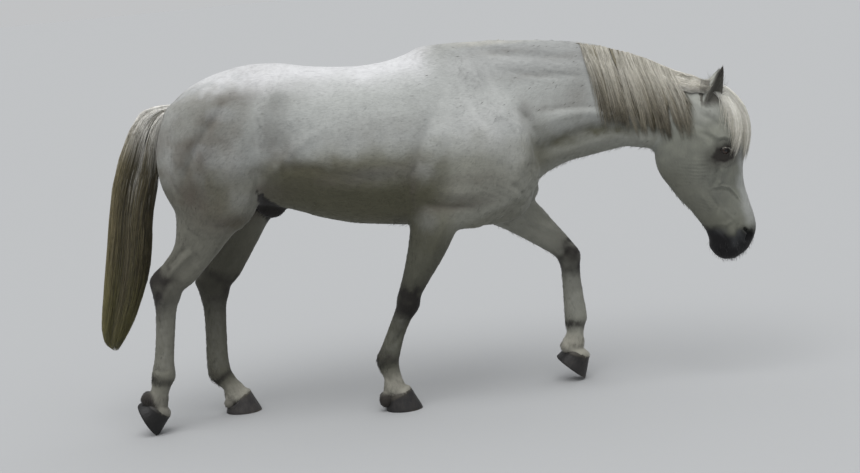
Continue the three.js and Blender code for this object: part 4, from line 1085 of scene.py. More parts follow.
@dataclass
class Skin:
    """The skin of the whole animal, as one closed surface.

    Attributes:
        body_grain, head_grain: The size of the faces that each is first laid out in.
        body_faces, head_faces: How many triangles each ends with.
    """

    body_grain: float = 6.5
    head_grain: float = 2.5
    body_faces: int = 100_000
    head_faces: int = 90_000

    def build(self) -> Piece:
        """Builds it, from the flesh's lofts to the finished form."""
        body, head = self.body(), self.head()
        self.model(body)
        self.model(head)
        thin_out(body, self.body_faces)
        thin_out(head, self.head_faces)
        skin = self.united(body, head)
        apply(skin, "TRIANGULATE")
        settle(skin.data)
        return skin

    def body(self) -> Piece:
        """The trunk, neck, legs and dock."""
        lofts = [
            Loft(TRUNK, 120, 96),
            Loft(NECK, 70, 80),
            Loft(over_trunk(THIGH, RIGHT, 0), 50, 64),
            Loft(over_trunk(THIGH, LEFT, 55), 50, 64),
            Loft(over_trunk(SHOULDER, RIGHT, 0), 50, 64),
            Loft(over_trunk(SHOULDER, LEFT, 110), 50, 64),
            Loft(self.dock(), 40, 40, grow=0.0),
            *(Loft(leg.stations(), 120, 40, grow=-2.0) for leg in LEGS),
        ]
        pieces = [piece_of("flesh", *loft.mesh()) for loft in lofts]
        pieces += [ball((354, side * 68, 852), (66, 70, 108)) for side in SIDES]
        pieces.append(ball((-600, 0, 880), (66, 42, 64), 0.75))
        pieces.append(ball((930, HEAD_Y, 1000), (72, 50, 42), 0.35))
        for leg in LEGS:
            middle = foot_place(leg, np.array([[-8.0, 0.0, 67.0]]))[0]
            pieces.append(ball(tuple(middle), (53, 49, 25), math.radians(leg.tilt) - 0.373))
            back, up, *reach = leg.heel
            for side in SIDES:
                bulb = foot_place(leg, np.array([[-back, side * 18.0, up]]))[0]
                pieces.append(ball(tuple(bulb), tuple(reach), math.radians(leg.tilt) - 0.2))
        body = joined("body", pieces)
        remesh(body, self.body_grain)
        points = read(body)
        lay = lay_of(points)
        weight = np.where(lay.joint < 0, 0.6, 0.6 * (1 - smooth(lay.joint, 1.1, 2.0)))
        weight *= 1 - 0.9 * smooth(lay.region == Region.NECK, 0, 1)
        weight *= 1 - 0.85 * np.clip(1.6 * dab(points, (-578, 0, 850), (70, 60, 60)), 0, 1)
        weight = np.maximum(weight, 0.06)
        points = relax(points, edges(body), weight, 26)
        high = np.maximum(points[:, 2] - 1430, 0)
        points[:, 2] += 14 * np.tanh(high / 14) - high
        write(body, points)
        return body

    def dock(self) -> Array:
        """The sections of the fleshy part of the tail."""
        end = math.ceil(DOCK_TO)
        rows = TAIL[: end + 1].copy()
        for n, row in enumerate(rows):
            scale = 0.86 if n < 1 else DOCK_SHARE * 0.9 * (1 - (n / (end + 0.6)) ** 4)
            middle = (row[0:2] + row[2:4]) / 2
            row[0:2] = middle + (row[0:2] - middle) * scale
            row[2:4] = middle + (row[2:4] - middle) * scale
            row[4] *= scale
        return rows

    def head(self) -> Piece:
        """The head, with its ears, lids, nostrils and mouth."""
        loft = Loft(HEAD, 130, 96, swellings=HEAD_SWELLINGS, middle_y=HEAD_Y, grow=-2.0)
        head = piece_of("head_flesh", *loft.mesh())
        ears = []
        for side in SIDES:
            eye = (EYE_AT[0], HEAD_Y + side * EYE_AT[1], EYE_AT[2])
            cut(head, ball(eye, (EYE_RADIUS + LID,) * 3), Cut.UNION)
            cut(head, ball(eye, (EYE_RADIUS + 0.3,) * 3))
            discs = []
            for apart in (ALMOND.apart, -ALMOND.apart):
                x, z = eye[0] + apart * math.sin(ALMOND.tilt), eye[2] + apart * math.cos(ALMOND.tilt)
                discs.append(ball((x, eye[1] + side * 30, z), (ALMOND.reach, 34, ALMOND.reach)))
            cut(discs[0], discs[1], Cut.INTERSECT)
            cut(head, discs[0])
            cut(head, ball((1288, MUZZLE_Y + side * 54, 579), (14, 20, 30), 0.55))
            cut(head, ball((1277, MUZZLE_Y + side * 53, 601), (9, 16, 17), -0.7))
            ears.append(self.ear(side))
        mouth = slab((1210, 474), np.array([-46.0, 136.0]), 143.6, 1.9)
        cut(mouth, ball((1190, MUZZLE_Y, 580), (80, 49, 72)))
        cut(head, mouth)
        head = joined("head_flesh", [head, *ears])
        remesh(head, self.head_grain)
        points = read(head)
        write(head, relax(points, edges(head), np.full(len(points), 0.5), 3))
        return head

    def ear(self, side: int) -> Piece:
        """One ear: a shell round a cup."""
        shell_points, faces = Loft(EAR, 50, 40, grow=0.0).mesh()
        cup_points, cup_faces = Loft(EAR_CUP, 40, 36, grow=-0.6).mesh()
        shell = piece_of("ear", ear_points(shell_points, side), faces)
        cup = piece_of("cup", ear_points(cup_points, side), cup_faces)
        for piece in (shell, cup):
            turn_out(piece)
        cut(shell, cup)
        return shell

    def united(self, body: Piece, head: Piece) -> Piece:
        """Body and head as one surface, with the step between them smoothed away."""
        cut(body, head, Cut.UNION)
        body.name = body.data.name = "skin"
        points = read(body)
        past = beyond(points, *HEAD_CUT)
        weight = 0.6 * np.exp(-((past / 60) ** 2)) * (points[:, 2] < 1300) * (points[:, 2] > 800)
        weight *= 1 - smooth(points[:, 2], 1160, 1200) * (past > 0)
        write(body, relax(points, edges(body), weight, 30))
        return body

    def model(self, skin: Piece) -> None:
        """Draws the muscles, grooves, veins and folds."""
        points, ways = read(skin), normals(skin)
        lay = lay_of(points)
        on_head = lay.region == Region.HEAD
        on_leg = lay.joint >= 1.35
        lift = np.zeros(len(points))
        groups = ((~on_head & ~on_leg, STROKES), (lay.joint >= 0, LEG_STROKES), (on_head, HEAD_STROKES))
        for here, drawn in groups:
            lift[here] += sum(stroke.lift(points[here], ways[here]) for stroke in drawn)
        lift += swelling(points, TRUNK_SWELLINGS, 0.0) * ~on_head * ~on_leg
        lift += swelling(points, NECK_SWELLINGS, 0.0) * (lay.region == Region.NECK)
        for ripple in RIPPLES:
            lift += ripple.lift(points, ways)
        lift += 0.9 * grain(points, 48, 3) * ~on_head * (1 - lay.low)
        points += ways * lift[:, None]
        write(skin, relax(points, edges(skin), np.full(len(points), 0.35), 2))


def thin_out(piece: Piece, faces: int) -> None:
    """Merges faces where the surface is plain, until so many triangles are left."""
    count = len(triangles(piece))
    log.info("%s: %d triangles before it is thinned out", piece.name, count)
    if count > faces:
        apply(piece, "DECIMATE", ratio=faces / count, use_collapse_triangulate=True)


def turn_out(piece: Piece) -> None:
    """Turns a solid's faces outwards."""
    alone(piece)
    bpy.ops.object.mode_set(mode="EDIT")
    bpy.ops.mesh.select_all(action="SELECT")
    bpy.ops.mesh.normals_make_consistent(inside=False)
    bpy.ops.object.mode_set(mode="OBJECT")


# ---- hair


class Relief:
    """How far out the skin is on one side of the animal, as seen from the side."""

    def __init__(self, skin: Piece, side: int, low: Pair, high: Pair) -> None:
        """Measures the skin in a window of X and Z, 6 mm apart."""
        self.low, self.step, self.side = np.array(low), 6.0, side
        self.size = ((np.array(high) - self.low) / self.step).astype(int) + 1
        tree = BVHTree.FromObject(skin, bpy.context.evaluated_depsgraph_get())
        self.out = np.full(self.size, np.nan)
        way = Vector((0, -side, 0))
        for i in range(self.size[0]):
            for k in range(self.size[1]):
                x, z = self.low + self.step * np.array([i, k])
                start = PLACE.metres(np.array([x, side * 600.0, z]))
                hit = tree.ray_cast(Vector(start), way)[0]
                if hit is not None:
                    self.out[i, k] = PLACE.named(np.array(hit))[1]
        middle = crest_y(self.low[0] + self.step * np.arange(self.size[0]))[:, None]
        self.top = np.full(self.size[0], np.nan)
        for i in range(self.size[0]):
            seen = np.flatnonzero(~np.isnan(self.out[i]))
            self.top[i] = self.low[1] + self.step * seen[-1] if len(seen) else self.low[1]
        self.out = np.where(np.isnan(self.out), middle, self.out)

    def at(self, x: Array, z: Array) -> Array:
        """The skin's Y at places seen from the side."""
        i = np.clip((x - self.low[0]) / self.step, 0, self.size[0] - 1.001)
        k = np.clip((z - self.low[1]) / self.step, 0, self.size[1] - 1.001)
        a, c = i.astype(int), k.astype(int)
        u, v = i - a, k - c
        upper = self.out[a, c + 1] * (1 - u) + self.out[a + 1, c + 1] * u
        lower = self.out[a, c] * (1 - u) + self.out[a + 1, c] * u
        return lower * (1 - v) + upper * v

    def crest(self, x: Array) -> Array:
        """The top of the neck or back at a place along it."""
        return np.interp(x, self.low[0] + self.step * np.arange(self.size[0]), self.top)


@dataclass
class Hair:
    """Strands that become one mesh.

    Attributes:
        paths: Each strand's points, from root to tip.
        outs: The way that its ridge faces at each of them.
        width: How wide each strand is.
        root_tone, tip_tone: Its colours.
        taper: How wide it is at the root and at the tip, as shares of the whole.
        fade: Where along it the root's colour starts to give way to the tip's, and where it has.
        last_tone: The colour that its last third turns to, where that is yet another.
    """

    paths: Array
    outs: Array
    width: Array
    root_tone: Array
    tip_tone: Array
    taper: Pair = (0.7, 0.2)
    fade: Pair = (0.0, 1.0)
    last_tone: Array | None = None

    def build(self, name: str) -> Piece:
        """The strands as closed, tapered blades with a low ridge, in one mesh."""
        count, steps, _ = self.paths.shape
        along = unit(np.gradient(self.paths, axis=1))
        across = unit(np.cross(along, self.outs))
        out = np.cross(across, along)
        share = np.linspace(0, 1, steps)
        root, tip = self.taper
        grows = root + (1 - root) * smooth(share, 0, 0.25)
        half = self.width[:, None] / 2 * grows * (tip + (1 - tip) * (1 - share**2.2))
        ring = steps - 1
        side, low, high = across * half[..., None], out * half[..., None] * 0.35, out * half[..., None] * 0.65
        edge = [self.paths + side - low, self.paths + high, self.paths - side - low]
        corner = np.stack(edge, axis=2)[:, :ring]
        points = np.concatenate([corner.reshape(count, ring * 3, 3), self.paths[:, -1:]], axis=1)
        each = ring * 3 + 1
        faces = []
        for r in range(ring - 1):
            for k in range(3):
                a, b = 3 * r + k, 3 * r + (k + 1) % 3
                faces += [(a, b, b + 3), (a, b + 3, a + 3)]
        faces += [(3 * ring - 3 + k, 3 * ring - 3 + (k + 1) % 3, 3 * ring) for k in range(3)]
        faces.append((0, 2, 1))
        pattern = np.array(faces)
        every = (pattern[None] + (np.arange(count) * each)[:, None, None]).reshape(-1, 3)
        piece = piece_of(name, points.reshape(-1, 3), every)
        shares = np.concatenate([np.repeat(share[:ring], 3), [1.0]])
        turned = smooth(shares, *self.fade)
        tones = mix(self.root_tone[:, None], self.tip_tone[:, None], turned[None, :, None])
        if self.last_tone is not None:
            tones = mix(tones, self.last_tone[:, None], smooth(shares, 0.66, 0.98)[None, :, None])
        colour(piece, "tone", tones.reshape(-1, 3))
        sideways = np.concatenate([np.tile([0.0, 0.5, 1.0], ring), [0.5]])
        patch(piece, on_sheet(lay_of(self.paths[:, 0])), shares, sideways)
        settle(piece.data)
        return piece


# How long the patch of a tuft is on the flat layout of the skin.
PATCH = 0.003


def patch(piece: Piece, roots: Array, along: Array, across: Array) -> None:
    """Lays each tuft out as a small patch at its root's place on the layout of the skin."""
    u = roots[:, None, 0] + PATCH * (along[None] - 0.5)
    v = roots[:, None, 1] + PATCH * 0.5 * (across[None] - 0.5)
    chart(piece, "OFBake", np.stack([u, v], axis=2).reshape(-1, 2)[corners_of(piece)])


def jitter(draw: np.random.Generator, count: int, reach: float) -> Array:
    """Even random numbers from minus reach to reach."""
    return draw.uniform(-reach, reach, count)


@dataclass
class ManeSide:
    """One side's fall of the mane.

    Attributes:
        start, end: Where along the crest its roots begin and end.
        drop, drift: How far below and in front of its root each tip is, by place along the crest.
        count: How many strands a layer has.
    """

    side: int
    start: float
    end: float
    drop: list[Pair]
    drift: list[Pair]
    count: int
    seed: int

    def strands(self, relief: Relief, outer: bool) -> Hair:
        """The strands of the under or the outer layer."""
        draw = np.random.default_rng(self.seed + 50 * outer)
        steps, count = 10, self.count if outer else int(self.count * 0.66)
        locks = int((self.end - self.start) / (5.0 if outer else 9.0))
        centre = np.sort(draw.uniform(self.start, self.end, locks))
        ends = [(self.start, 0.12), (self.start + 40, 0.5), (self.start + 90, 1.0)]
        ends += [(self.end - 150, 1.0), (self.end - 60, 0.45), (self.end, 0.08)]
        thick = ramp(centre, ends)
        lock = draw.choice(locks, count, p=thick / thick.sum())
        reach = {"x": jitter(draw, count, 8), "deep": draw.random(count)}
        long = (1 - 0.42 * draw.random(locks) ** 1.6)[lock] * (1 - 0.4 * draw.random(count) ** 2.2)
        long *= 1.0 if outer else 0.9
        root = centre[lock] + reach["x"]
        drop = ramp(centre[lock], self.drop) * long
        drift = ramp(centre[lock], self.drift) + jitter(draw, locks, 8)[lock]
        height = draw.uniform(4, 14, locks)[lock] if outer else draw.uniform(1, 6, locks)[lock]
        wave = {"far": draw.uniform(2.5, 9.0, locks)[lock], "turn": draw.uniform(0, 6.28, locks)[lock]}
        own = {"far": draw.uniform(0, 3.0, count), "turn": draw.uniform(0, 6.28, count)}
        middle = crest_y(root)
        top = relief.crest(root)
        spread = draw.normal(0, 6.0, count)
        paths = np.zeros((count, steps, 3))
        widest = np.full(count, -1e9)
        for n, t in enumerate(np.linspace(0, 1, steps) ** 0.92):
            gather = 1 - 0.5 * t**1.3
            x = centre[lock] + reach["x"] * gather + drift * t**0.6 + spread * t
            sway = wave["far"] * np.sin(5.2 * t + wave["turn"]) * t
            x += sway + own["far"] * np.sin(9 * t + own["turn"]) * t
            z = top - drop * t
            skin_y = relief.at(x, np.minimum(z, top - 4))
            out = skin_y * self.side
            widest = np.maximum(widest, out)
            hang = mix(out, widest, 0.55 * smooth(t, 0.2, 0.6))
            lift = height * (0.35 + 0.65 * smooth(t, 0.0, 0.2)) * (1 - 0.35 * t)
            lift += reach["deep"] * 5 * (1 - t)
            y = self.side * (hang + lift)
            if n == 0:
                y = middle + self.side * (2 + 6 * reach["deep"])
                z = top - 6
            if n == 1:
                z = np.maximum(z, top - 14) + (6 + 0.25 * height)
                y = middle + self.side * (9 + 5 * reach["deep"] + 0.3 * height)
            paths[:, n] = np.stack([x, y, z], axis=1)
        outs = np.zeros_like(paths)
        outs[..., 1] = self.side
        outs[..., 2] = np.linspace(1.2, 0.1, steps)[None]
        outs += np.random.default_rng(self.seed + 7).normal(0, 0.28, outs.shape)
        width = draw.uniform(1.2, 2.1, count)
        pale = draw.random(count)[:, None] * 0.7 + 0.3 * draw.random(locks)[lock][:, None]
        if outer:
            start = mix(srgb(150, 145, 130), srgb(220, 216, 205), pale)
            end = mix(srgb(66, 58, 40), srgb(174, 166, 144), pale**1.8)
        else:
            # The under layer is darker: partly its own stained colour, partly painted shade beneath the outer
            # strands.
            start = mix(srgb(112, 106, 86), srgb(158, 151, 130), pale)
            end = mix(srgb(58, 52, 32), srgb(108, 98, 68), pale)
        return Hair(paths, unit(outs), width, start, end, taper=(0.7, 0.1), fade=(0.1, 0.95))


NEAR_MANE = ManeSide(
    RIGHT, 664, 1016,
    [(640, 350), (695, 372), (860, 370), (920, 330), (990, 310), (1030, 240)],
    [(640, 100), (695, 68), (809, 84), (880, 98), (920, 95), (990, 80)],
    3700, 11,
)
FAR_MANE = ManeSide(
    LEFT, 352, 690,
    [(352, 50), (410, 150), (500, 225), (590, 220), (650, 150), (690, 70)],
    [(352, 30), (690, 20)],
    1800, 12,
)


def crest_sweep(relief: Relief) -> Hair:
    """The hair behind the poll, swept forward along the crest to the root of the ear."""
    draw = np.random.default_rng(13)
    count, steps = 1700, 10
    off = np.clip(draw.normal(0.3, 0.42, count), -0.8, 1.12)
    start = draw.uniform(860, 1040, count) + 70 * np.maximum(-off, 0)
    stop = 1172 - 16 * np.maximum(off - 0.4, 0) + draw.normal(0, 10, count)
    deep, turn = draw.random(count), draw.uniform(0, 6.28, count)
    paths = np.zeros((count, steps, 3))
    for n, t in enumerate(np.linspace(0, 1, steps)):
        x = mix(start, stop, t)
        share = np.clip((x - 870) / 290, 0, 1)
        top = relief.crest(x)
        fall = np.maximum(off, 0) * (54 - 20 * share) + 12 * np.sin(math.pi * share) * smooth(off, 0.0, 0.4)
        fall += (2 + 3 * deep) * np.sin(5 * t + turn) * smooth(off, 0.0, 0.3)
        z = top - np.maximum(fall, 2.0)
        lift = -3.0 if n == 0 else 2.0 + 8 * deep * math.sin(math.pi * min(1.0, 0.12 + t * 0.8))
        z = z + (0.4 + 0.6 * deep) * 9 * np.exp(-(((x - 1095) / 45) ** 2)) * (n > 0)
        near = relief.at(x, z - 4) - lift
        over = relief.at(x, top - 4) + 8 + np.maximum(-off, 0) * 56
        side = smooth(off, 0.0, 0.3)
        y = mix(over, near, side)
        z = z + (3 + lift) * (1 - side) - np.maximum(-off - 0.1, 0) * 24
        paths[:, n] = np.stack([x, y, z], axis=1)
    outs = np.zeros_like(paths)
    outs[..., 1], outs[..., 2] = -smooth(off, -0.2, 0.5)[:, None], 0.8
    outs += draw.normal(0, 0.2, outs.shape)
    pale = draw.random((count, 1))
    # Painted shade: the strands that fall lowest down the near side are darker.
    tones = mix(srgb(176, 170, 154), srgb(246, 243, 234), pale) * (1 - 0.4 * smooth(off, 0.5, 1.1))[:, None]
    return Hair(paths, unit(outs), draw.uniform(1.2, 2.1, count), tones, tones * 0.96)


def forelock(head: Loft) -> Hair:
    """The hair that falls from between the ears, over the forehead, to below the eyes."""
    draw = np.random.default_rng(14)
    count, steps, locks = 2700, 10, 46
    centre = np.clip(draw.normal(0.22, 0.7, locks), -1.4, 1.5)
    centre[:9] = draw.uniform(1.1, 1.75, 9)
    weight = np.where(np.arange(locks) < 9, 0.4, 1.0)
    lock = draw.choice(locks, count, p=weight / weight.sum())
    across = centre[lock]
    own = draw.normal(0, 0.07, count)
    end = 5.6 - 0.42 * np.minimum(np.abs(across - 0.1), 1.1) ** 2 + draw.uniform(-0.9, 0.35, locks)[lock]
    end -= 1.9 * draw.random(count) ** 2.4
    deep = draw.random(count)
    turn = draw.uniform(0, 6.28, locks)[lock]
    paths, outs = np.zeros((count, steps, 3)), np.zeros((count, steps, 3))
    for n, t in enumerate(np.linspace(0, 1, steps) ** 0.9):
        place = mix(0.62 + 0.4 * deep + 0.5 * smooth(np.abs(across), 0.6, 1.4), end, t)
        angle = math.pi / 2 + (across * (0.3 + 0.62 * t) + own * (1 - 0.6 * t)) * 0.9
        angle += 0.035 * np.sin(5 * t + turn)
        arch = (3 + 24 * deep**0.7 * (1 - 0.5 * np.minimum(np.abs(across), 1) ** 2)) * math.sin(
            math.pi * (0.16 + 0.7 * t)
        )
        points, out = head.surface(place, angle)
        paths[:, n] = points + out * (arch if n else np.full(count, -5.0))[:, None]
        outs[:, n] = out
    paths[..., 0] = np.minimum(paths[..., 0], 1330.0)
    outs += draw.normal(0, 0.2, outs.shape)
    pale = 0.5 * draw.random((count, 1)) + 0.5 * draw.random(locks)[lock][:, None]
    start = mix(srgb(218, 216, 206), srgb(252, 251, 246), pale)
    tip = mix(srgb(176, 171, 152), srgb(248, 245, 236), pale)
    # Painted shade: strands that lie closer to the forehead are darker.
    shade = 0.84 + 0.16 * deep[:, None] ** 0.5
    return Hair(paths, unit(outs), draw.uniform(1.2, 2.0, count), start * shade, tip * shade, (0.7, 0.1))


def tail_hair(outer: bool) -> Hair:
    """The tail, from the dock to the tips: its inner or its outer strands."""
    draw = np.random.default_rng(15 + outer)
    count, steps, locks = 3000 if outer else 1800, 12, 70
    heading = draw.uniform(0, 2 * math.pi, locks)
    lock = draw.integers(0, locks, count)
    root = draw.uniform(0.15, 5.2, locks)[lock] if not outer else draw.uniform(0.1, 4.2, locks)[lock]
    root = np.clip(root + draw.normal(0, 0.25, count), 0.1, 5.5)
    end = np.clip(draw.uniform(9.3, 12.0, locks)[lock] + draw.normal(0, 0.35, count), 7.5, 12.0)
    end = np.where(draw.random(count) < 0.2, draw.uniform(7.0, 11.0, count), end)
    depth = np.sqrt(draw.uniform(0.1, 0.85, count)) if not outer else draw.uniform(0.84, 1.0, count)
    own = draw.normal(0, 0.16, count)
    turn, far = draw.uniform(0, 6.28, locks)[lock], draw.uniform(0.02, 0.09, locks)[lock]
    curl = draw.random(locks)[lock] ** 3 * 4.0
    paths, outs = np.zeros((count, steps, 3)), np.zeros((count, steps, 3))
    for n, t in enumerate(np.linspace(0, 1, steps)):
        place = mix(root, end, t)
        angle = heading[lock] + own * (1 - 0.45 * t) + far * np.sin(6 * t + turn)
        middle, out, reach = spokes(TAIL, place, angle)
        leaves = smooth(place - root, -0.1, 2.2)
        core = DOCK_SHARE * 0.85 * np.clip(1 - (place / 6.6) ** 4, 0, 1)
        share = mix(np.maximum(core, 0.12), depth, leaves)
        swing = curl * np.sin(16 * t + turn) * smooth(t, 0.3, 0.8)
        paths[:, n] = middle + out * (reach * share)[:, None]
        paths[:, n, 0] += swing
        outs[:, n] = out
    paths[..., 0] = np.maximum(paths[..., 0], -1341.0)
    # Painted light: the strands on the rear of the tail are paler, as if lit from behind.
    lit_rear = smooth(-outs[:, 5, 0], 0.1, 0.9)[:, None]
    outs += draw.normal(0, 0.25, outs.shape)
    pale = 0.5 * draw.random((count, 1)) + 0.5 * draw.random(locks)[lock][:, None]
    pale = np.clip(pale + 0.4 * lit_rear, 0, 1)
    if outer:
        start = mix(srgb(226, 223, 214), srgb(250, 248, 243), pale)
        tip = mix(srgb(46, 41, 26), srgb(126, 116, 86), pale**2.2)
    else:
        start = mix(srgb(150, 146, 136), srgb(200, 197, 188), pale)
        tip = mix(srgb(42, 38, 22), srgb(84, 77, 50), pale)
    start = mix(start, tip, smooth(root, 1.2, 4.8)[:, None] * 0.8)
    last = mix(srgb(84, 80, 44), srgb(142, 136, 88), pale)
    width = draw.uniform(1.6, 2.7, count)
    return Hair(paths, unit(outs), width, start, tip, fade=(0.1, 0.38), last_tone=last)


# ---- finishes


class Nodes:
    """A tree of nodes that is being put together."""

    def __init__(self, tree: bpy.types.NodeTree) -> None:
        """Starts with what the tree has."""
        self.tree = tree

    def node(self, kind: str, inputs: dict[str | int, object], **settings: object) -> bpy.types.Node:
        """Adds a node, and sets or links its inputs."""
        made = self.tree.nodes.new("ShaderNode" + kind)
        for key, value in settings.items():
            setattr(made, key, value)
        for key, value in inputs.items():
            if isinstance(value, Socket):
                self.tree.links.new(value, made.inputs[key])
            else:
                made.inputs[key].default_value = value
        return made


class Recipe(Nodes):
    """A material that is being put together from nodes."""

    def __init__(self, name: str, **sockets: float | Row) -> None:
        """Starts it, with the shader's own numbers, an underscore standing for a space in their names."""
        self.material = bpy.data.materials.new(name)
        self.material.use_nodes = True
        super().__init__(self.material.node_tree)
        self.shader = self.tree.nodes["Principled BSDF"]
        for key, value in sockets.items():
            self.shader.inputs[key.replace("_", " ")].default_value = value

    def tone(self) -> Socket:
        """The colour that is kept at the vertices."""
        return self.node("Attribute", {}, attribute_name="tone").outputs["Color"]

    def noise(self, place: Socket, scale: float, low: float, high: float) -> Socket:
        """Fine noise, from low to high."""
        found = self.node("TexNoise", {"Vector": place, "Scale": scale, "Detail": 5.0, "Roughness": 0.6})
        reach = {"From Min": 0.3, "From Max": 0.7, "To Min": low, "To Max": high}
        return self.node("MapRange", {"Value": found.outputs["Fac"], **reach}).outputs["Result"]

    def shade(self, tone: Socket, by: Socket) -> Socket:
        """A colour, lighter or darker by a factor."""
        return self.node("VectorMath", {0: tone, 1: by}, operation="MULTIPLY").outputs["Vector"]

    def bump(self, height: Socket, strength: float, depth: float) -> None:
        """Roughens the surface."""
        made = self.node("Bump", {"Height": height, "Strength": strength, "Distance": depth})
        self.tree.links.new(made.outputs["Normal"], self.shader.inputs["Normal"])

    def done(self, tone: Socket) -> bpy.types.Material:
        """The material, with its colour."""
        self.tree.links.new(tone, self.shader.inputs["Base Color"])
        return self.material


@dataclass(frozen=True)
class Finish:
    """How a kind of surface looks.

    Attributes:
        roughness, specular, sheen: How dull it is, what it reflects head on, and what its edges scatter.
        coat: How wet it is.
        scales: The sizes of its mottling, as (scale, darkest, lightest).
        relief: The scale, strength and depth of its bumps.
        combed: Whether the bumps are drawn out along the lie of the coat.
    """

    name: str
    roughness: float
    specular: float
    sheen: float = 0.0
    coat: float = 0.0
    scales: tuple[tuple[float, float, float], ...] = ((90.0, 0.92, 1.07), (700.0, 0.9, 1.08))
    relief: tuple[float, float, float] = (900.0, 0.2, 0.0006)
    combed: bool = False

    def material(self) -> bpy.types.Material:
        """Makes the material."""
        recipe = Recipe(
            self.name, Roughness=self.roughness, Specular_IOR_Level=self.specular, Sheen_Weight=self.sheen,
            Sheen_Roughness=0.45, Coat_Weight=self.coat, Coat_Roughness=0.03,
        )
        place = recipe.node("TexCoord", {}).outputs["Object"]
        tone = recipe.tone()
        for scale, low, high in self.scales:
            tone = recipe.shade(tone, recipe.noise(place, scale, low, high))
        scale, strength, depth = self.relief
        if self.combed:
            flat = recipe.node("UVMap", {}, uv_map="lie").outputs["UV"]
            place = recipe.node("Mapping", {"Vector": flat, "Scale": (1.0, 7.0, 1.0)}).outputs["Vector"]
            tone = recipe.shade(tone, recipe.noise(place, scale * 0.6, 0.9, 1.08))
        recipe.bump(recipe.noise(place, scale, 0.0, 1.0), strength, depth)
        return recipe.done(tone)


SKIN_FINISH = Finish("skin", 0.75, 0.25, 0.12, 0.0, ((26.0, 0.94, 1.05),), (9.0, 0.25, 0.0006), combed=True)
TUFT_FINISH = Finish("short_coat", 0.62, 0.3, 0.15, 0.0, ((60.0, 0.95, 1.05),), (1500.0, 0.15, 0.0003))
MANE_FINISH = Finish("mane", 0.42, 0.42, 0.1)
TAIL_FINISH = Finish("tail", 0.48, 0.38, 0.1, scales=((60.0, 0.88, 1.1), (700.0, 0.88, 1.1)))
FRINGE_FINISH = Finish("fringe", 0.55, 0.3, 0.1)
HORN_FINISH = Finish(
    "horn", 0.5, 0.4, scales=((45.0, 0.8, 1.2), (400.0, 0.85, 1.12)), relief=(160.0, 0.35, 0.0012)
)
EYE_FINISH = Finish("eyeball", 0.1, 0.35, 0.0, 0.35, ((300.0, 0.92, 1.06),), (40.0, 0.02, 0.0002))


# ---- markings, and painted light and shade

# Of these, the first is painted light, for the top of the back and croup where they face up.
LIT_TOP, PALE, BODY, HAUNCH = srgb(203, 203, 204), srgb(190, 191, 189), srgb(172, 174, 171), srgb(130, 130, 124)
# Of these, the first is the olive of painted shade, for the belly, the skin that faces down, the low neck and
# the jaw.
SHADE_OLIVE, FACE, SOOT, MUZZLE_TONE = srgb(102, 100, 80), srgb(113, 114, 102), srgb(40, 37, 34), srgb(16, 15, 17)
PASTERN, INNER_EAR = srgb(168, 165, 153), srgb(72, 68, 61)

# Darker clouds, dapples of the coat and, low on the neck, painted shade: X, Z, reach along X and Z, strength.
DAPPLES_AND_SHADE = [
    (-900, 1006, 60, 46, 0.85), (-857, 950, 50, 46, 0.85), (-905, 930, 40, 50, 0.45),
    (-866, 1072, 60, 34, 0.4), (-800, 1120, 60, 30, 0.3), (-801, 832, 110, 34, 0.95),
    (-720, 838, 70, 24, 0.6), (-770, 900, 60, 40, 0.3), (-831, 1174, 80, 34, 0.65),
    (-760, 1240, 70, 32, 0.55), (-690, 1316, 90, 26, 0.6), (-640, 1270, 30, 60, 0.25),
    (-560, 1150, 60, 70, 0.45), (-530, 1250, 50, 60, 0.3), (-520, 1080, 50, 40, 0.3),
    (-480, 1290, 90, 30, 0.16), (-640, 830, 50, 50, 0.3), (-400, 1035, 180, 22, 0.3),
    (-100, 1000, 160, 24, 0.3), (10, 1060, 26, 90, 0.22), (200, 925, 130, 26, 0.35),
    (495, 1050, 36, 90, 0.6), (575, 1030, 80, 30, 0.85), (735, 1054, 150, 27, 0.95),
    (880, 1052, 70, 26, 0.7), (668, 1200, 46, 110, 0.4), (180, 836, 115, 38, 0.5), (-606, 948, 26, 52, 0.8),
    (-640, 1338, 190, 40, 0.3), (-502, 1118, 66, 60, 0.4), (-90, 1152, 160, 56, 0.25),
    (-896, 886, 60, 50, 0.4), (-796, 798, 90, 30, 0.4), (470, 960, 60, 50, 0.6), (110, 818, 110, 20, 0.8),
    (-22, 930, 16, 90, 0.6), (250, 900, 160, 40, 0.2), (-560, 930, 70, 60, 0.6), (440, 1150, 30, 60, 0.6),
    (640, 1352, 120, 16, 0.3), (380, 1394, 120, 14, 0.4), (470, 1296, 120, 18, 0.35),
    (560, 1160, 90, 16, 0.4), (600, 1190, 90, 26, 0.2), (840, 1090, 90, 40, 0.35), (93, 1430, 90, 40, 0.3),
    (-617, 1425, 130, 30, 0.18), (617, 1104, 130, 30, 0.3), (587, 1225, 90, 60, 0.16),
    (-248, 1124, 170, 60, 0.2), (-264, 974, 170, 36, 0.55), (-878, 940, 44, 60, 0.6),
    (-856, 884, 50, 36, 0.5), (-770, 838, 70, 24, 0.6), (-838, 1110, 50, 30, 0.4),
    (-744, 1180, 60, 40, 0.3), (640, 960, 200, 26, 0.4), (-791, 1135, 44, 40, 0.3),
]
MOTTLE = srgb(92, 86, 78)
# Lighter clouds, the same way.
LIGHTS = [
    (-135, 985, 150, 46, 0.18), (26, 985, 44, 50, 0.4), (22, 765, 46, 50, 0.35), (290, 1364, 150, 34, 0.45),
    (382, 1008, 56, 64, 0.4), (-950, 1285, 56, 56, 0.3), (-706, 1070, 70, 76, 0.5),
    (-694, 925, 50, 50, 0.22), (-960, 1100, 34, 110, 0.35), (309, 1054, 45, 60, 0.4),
]
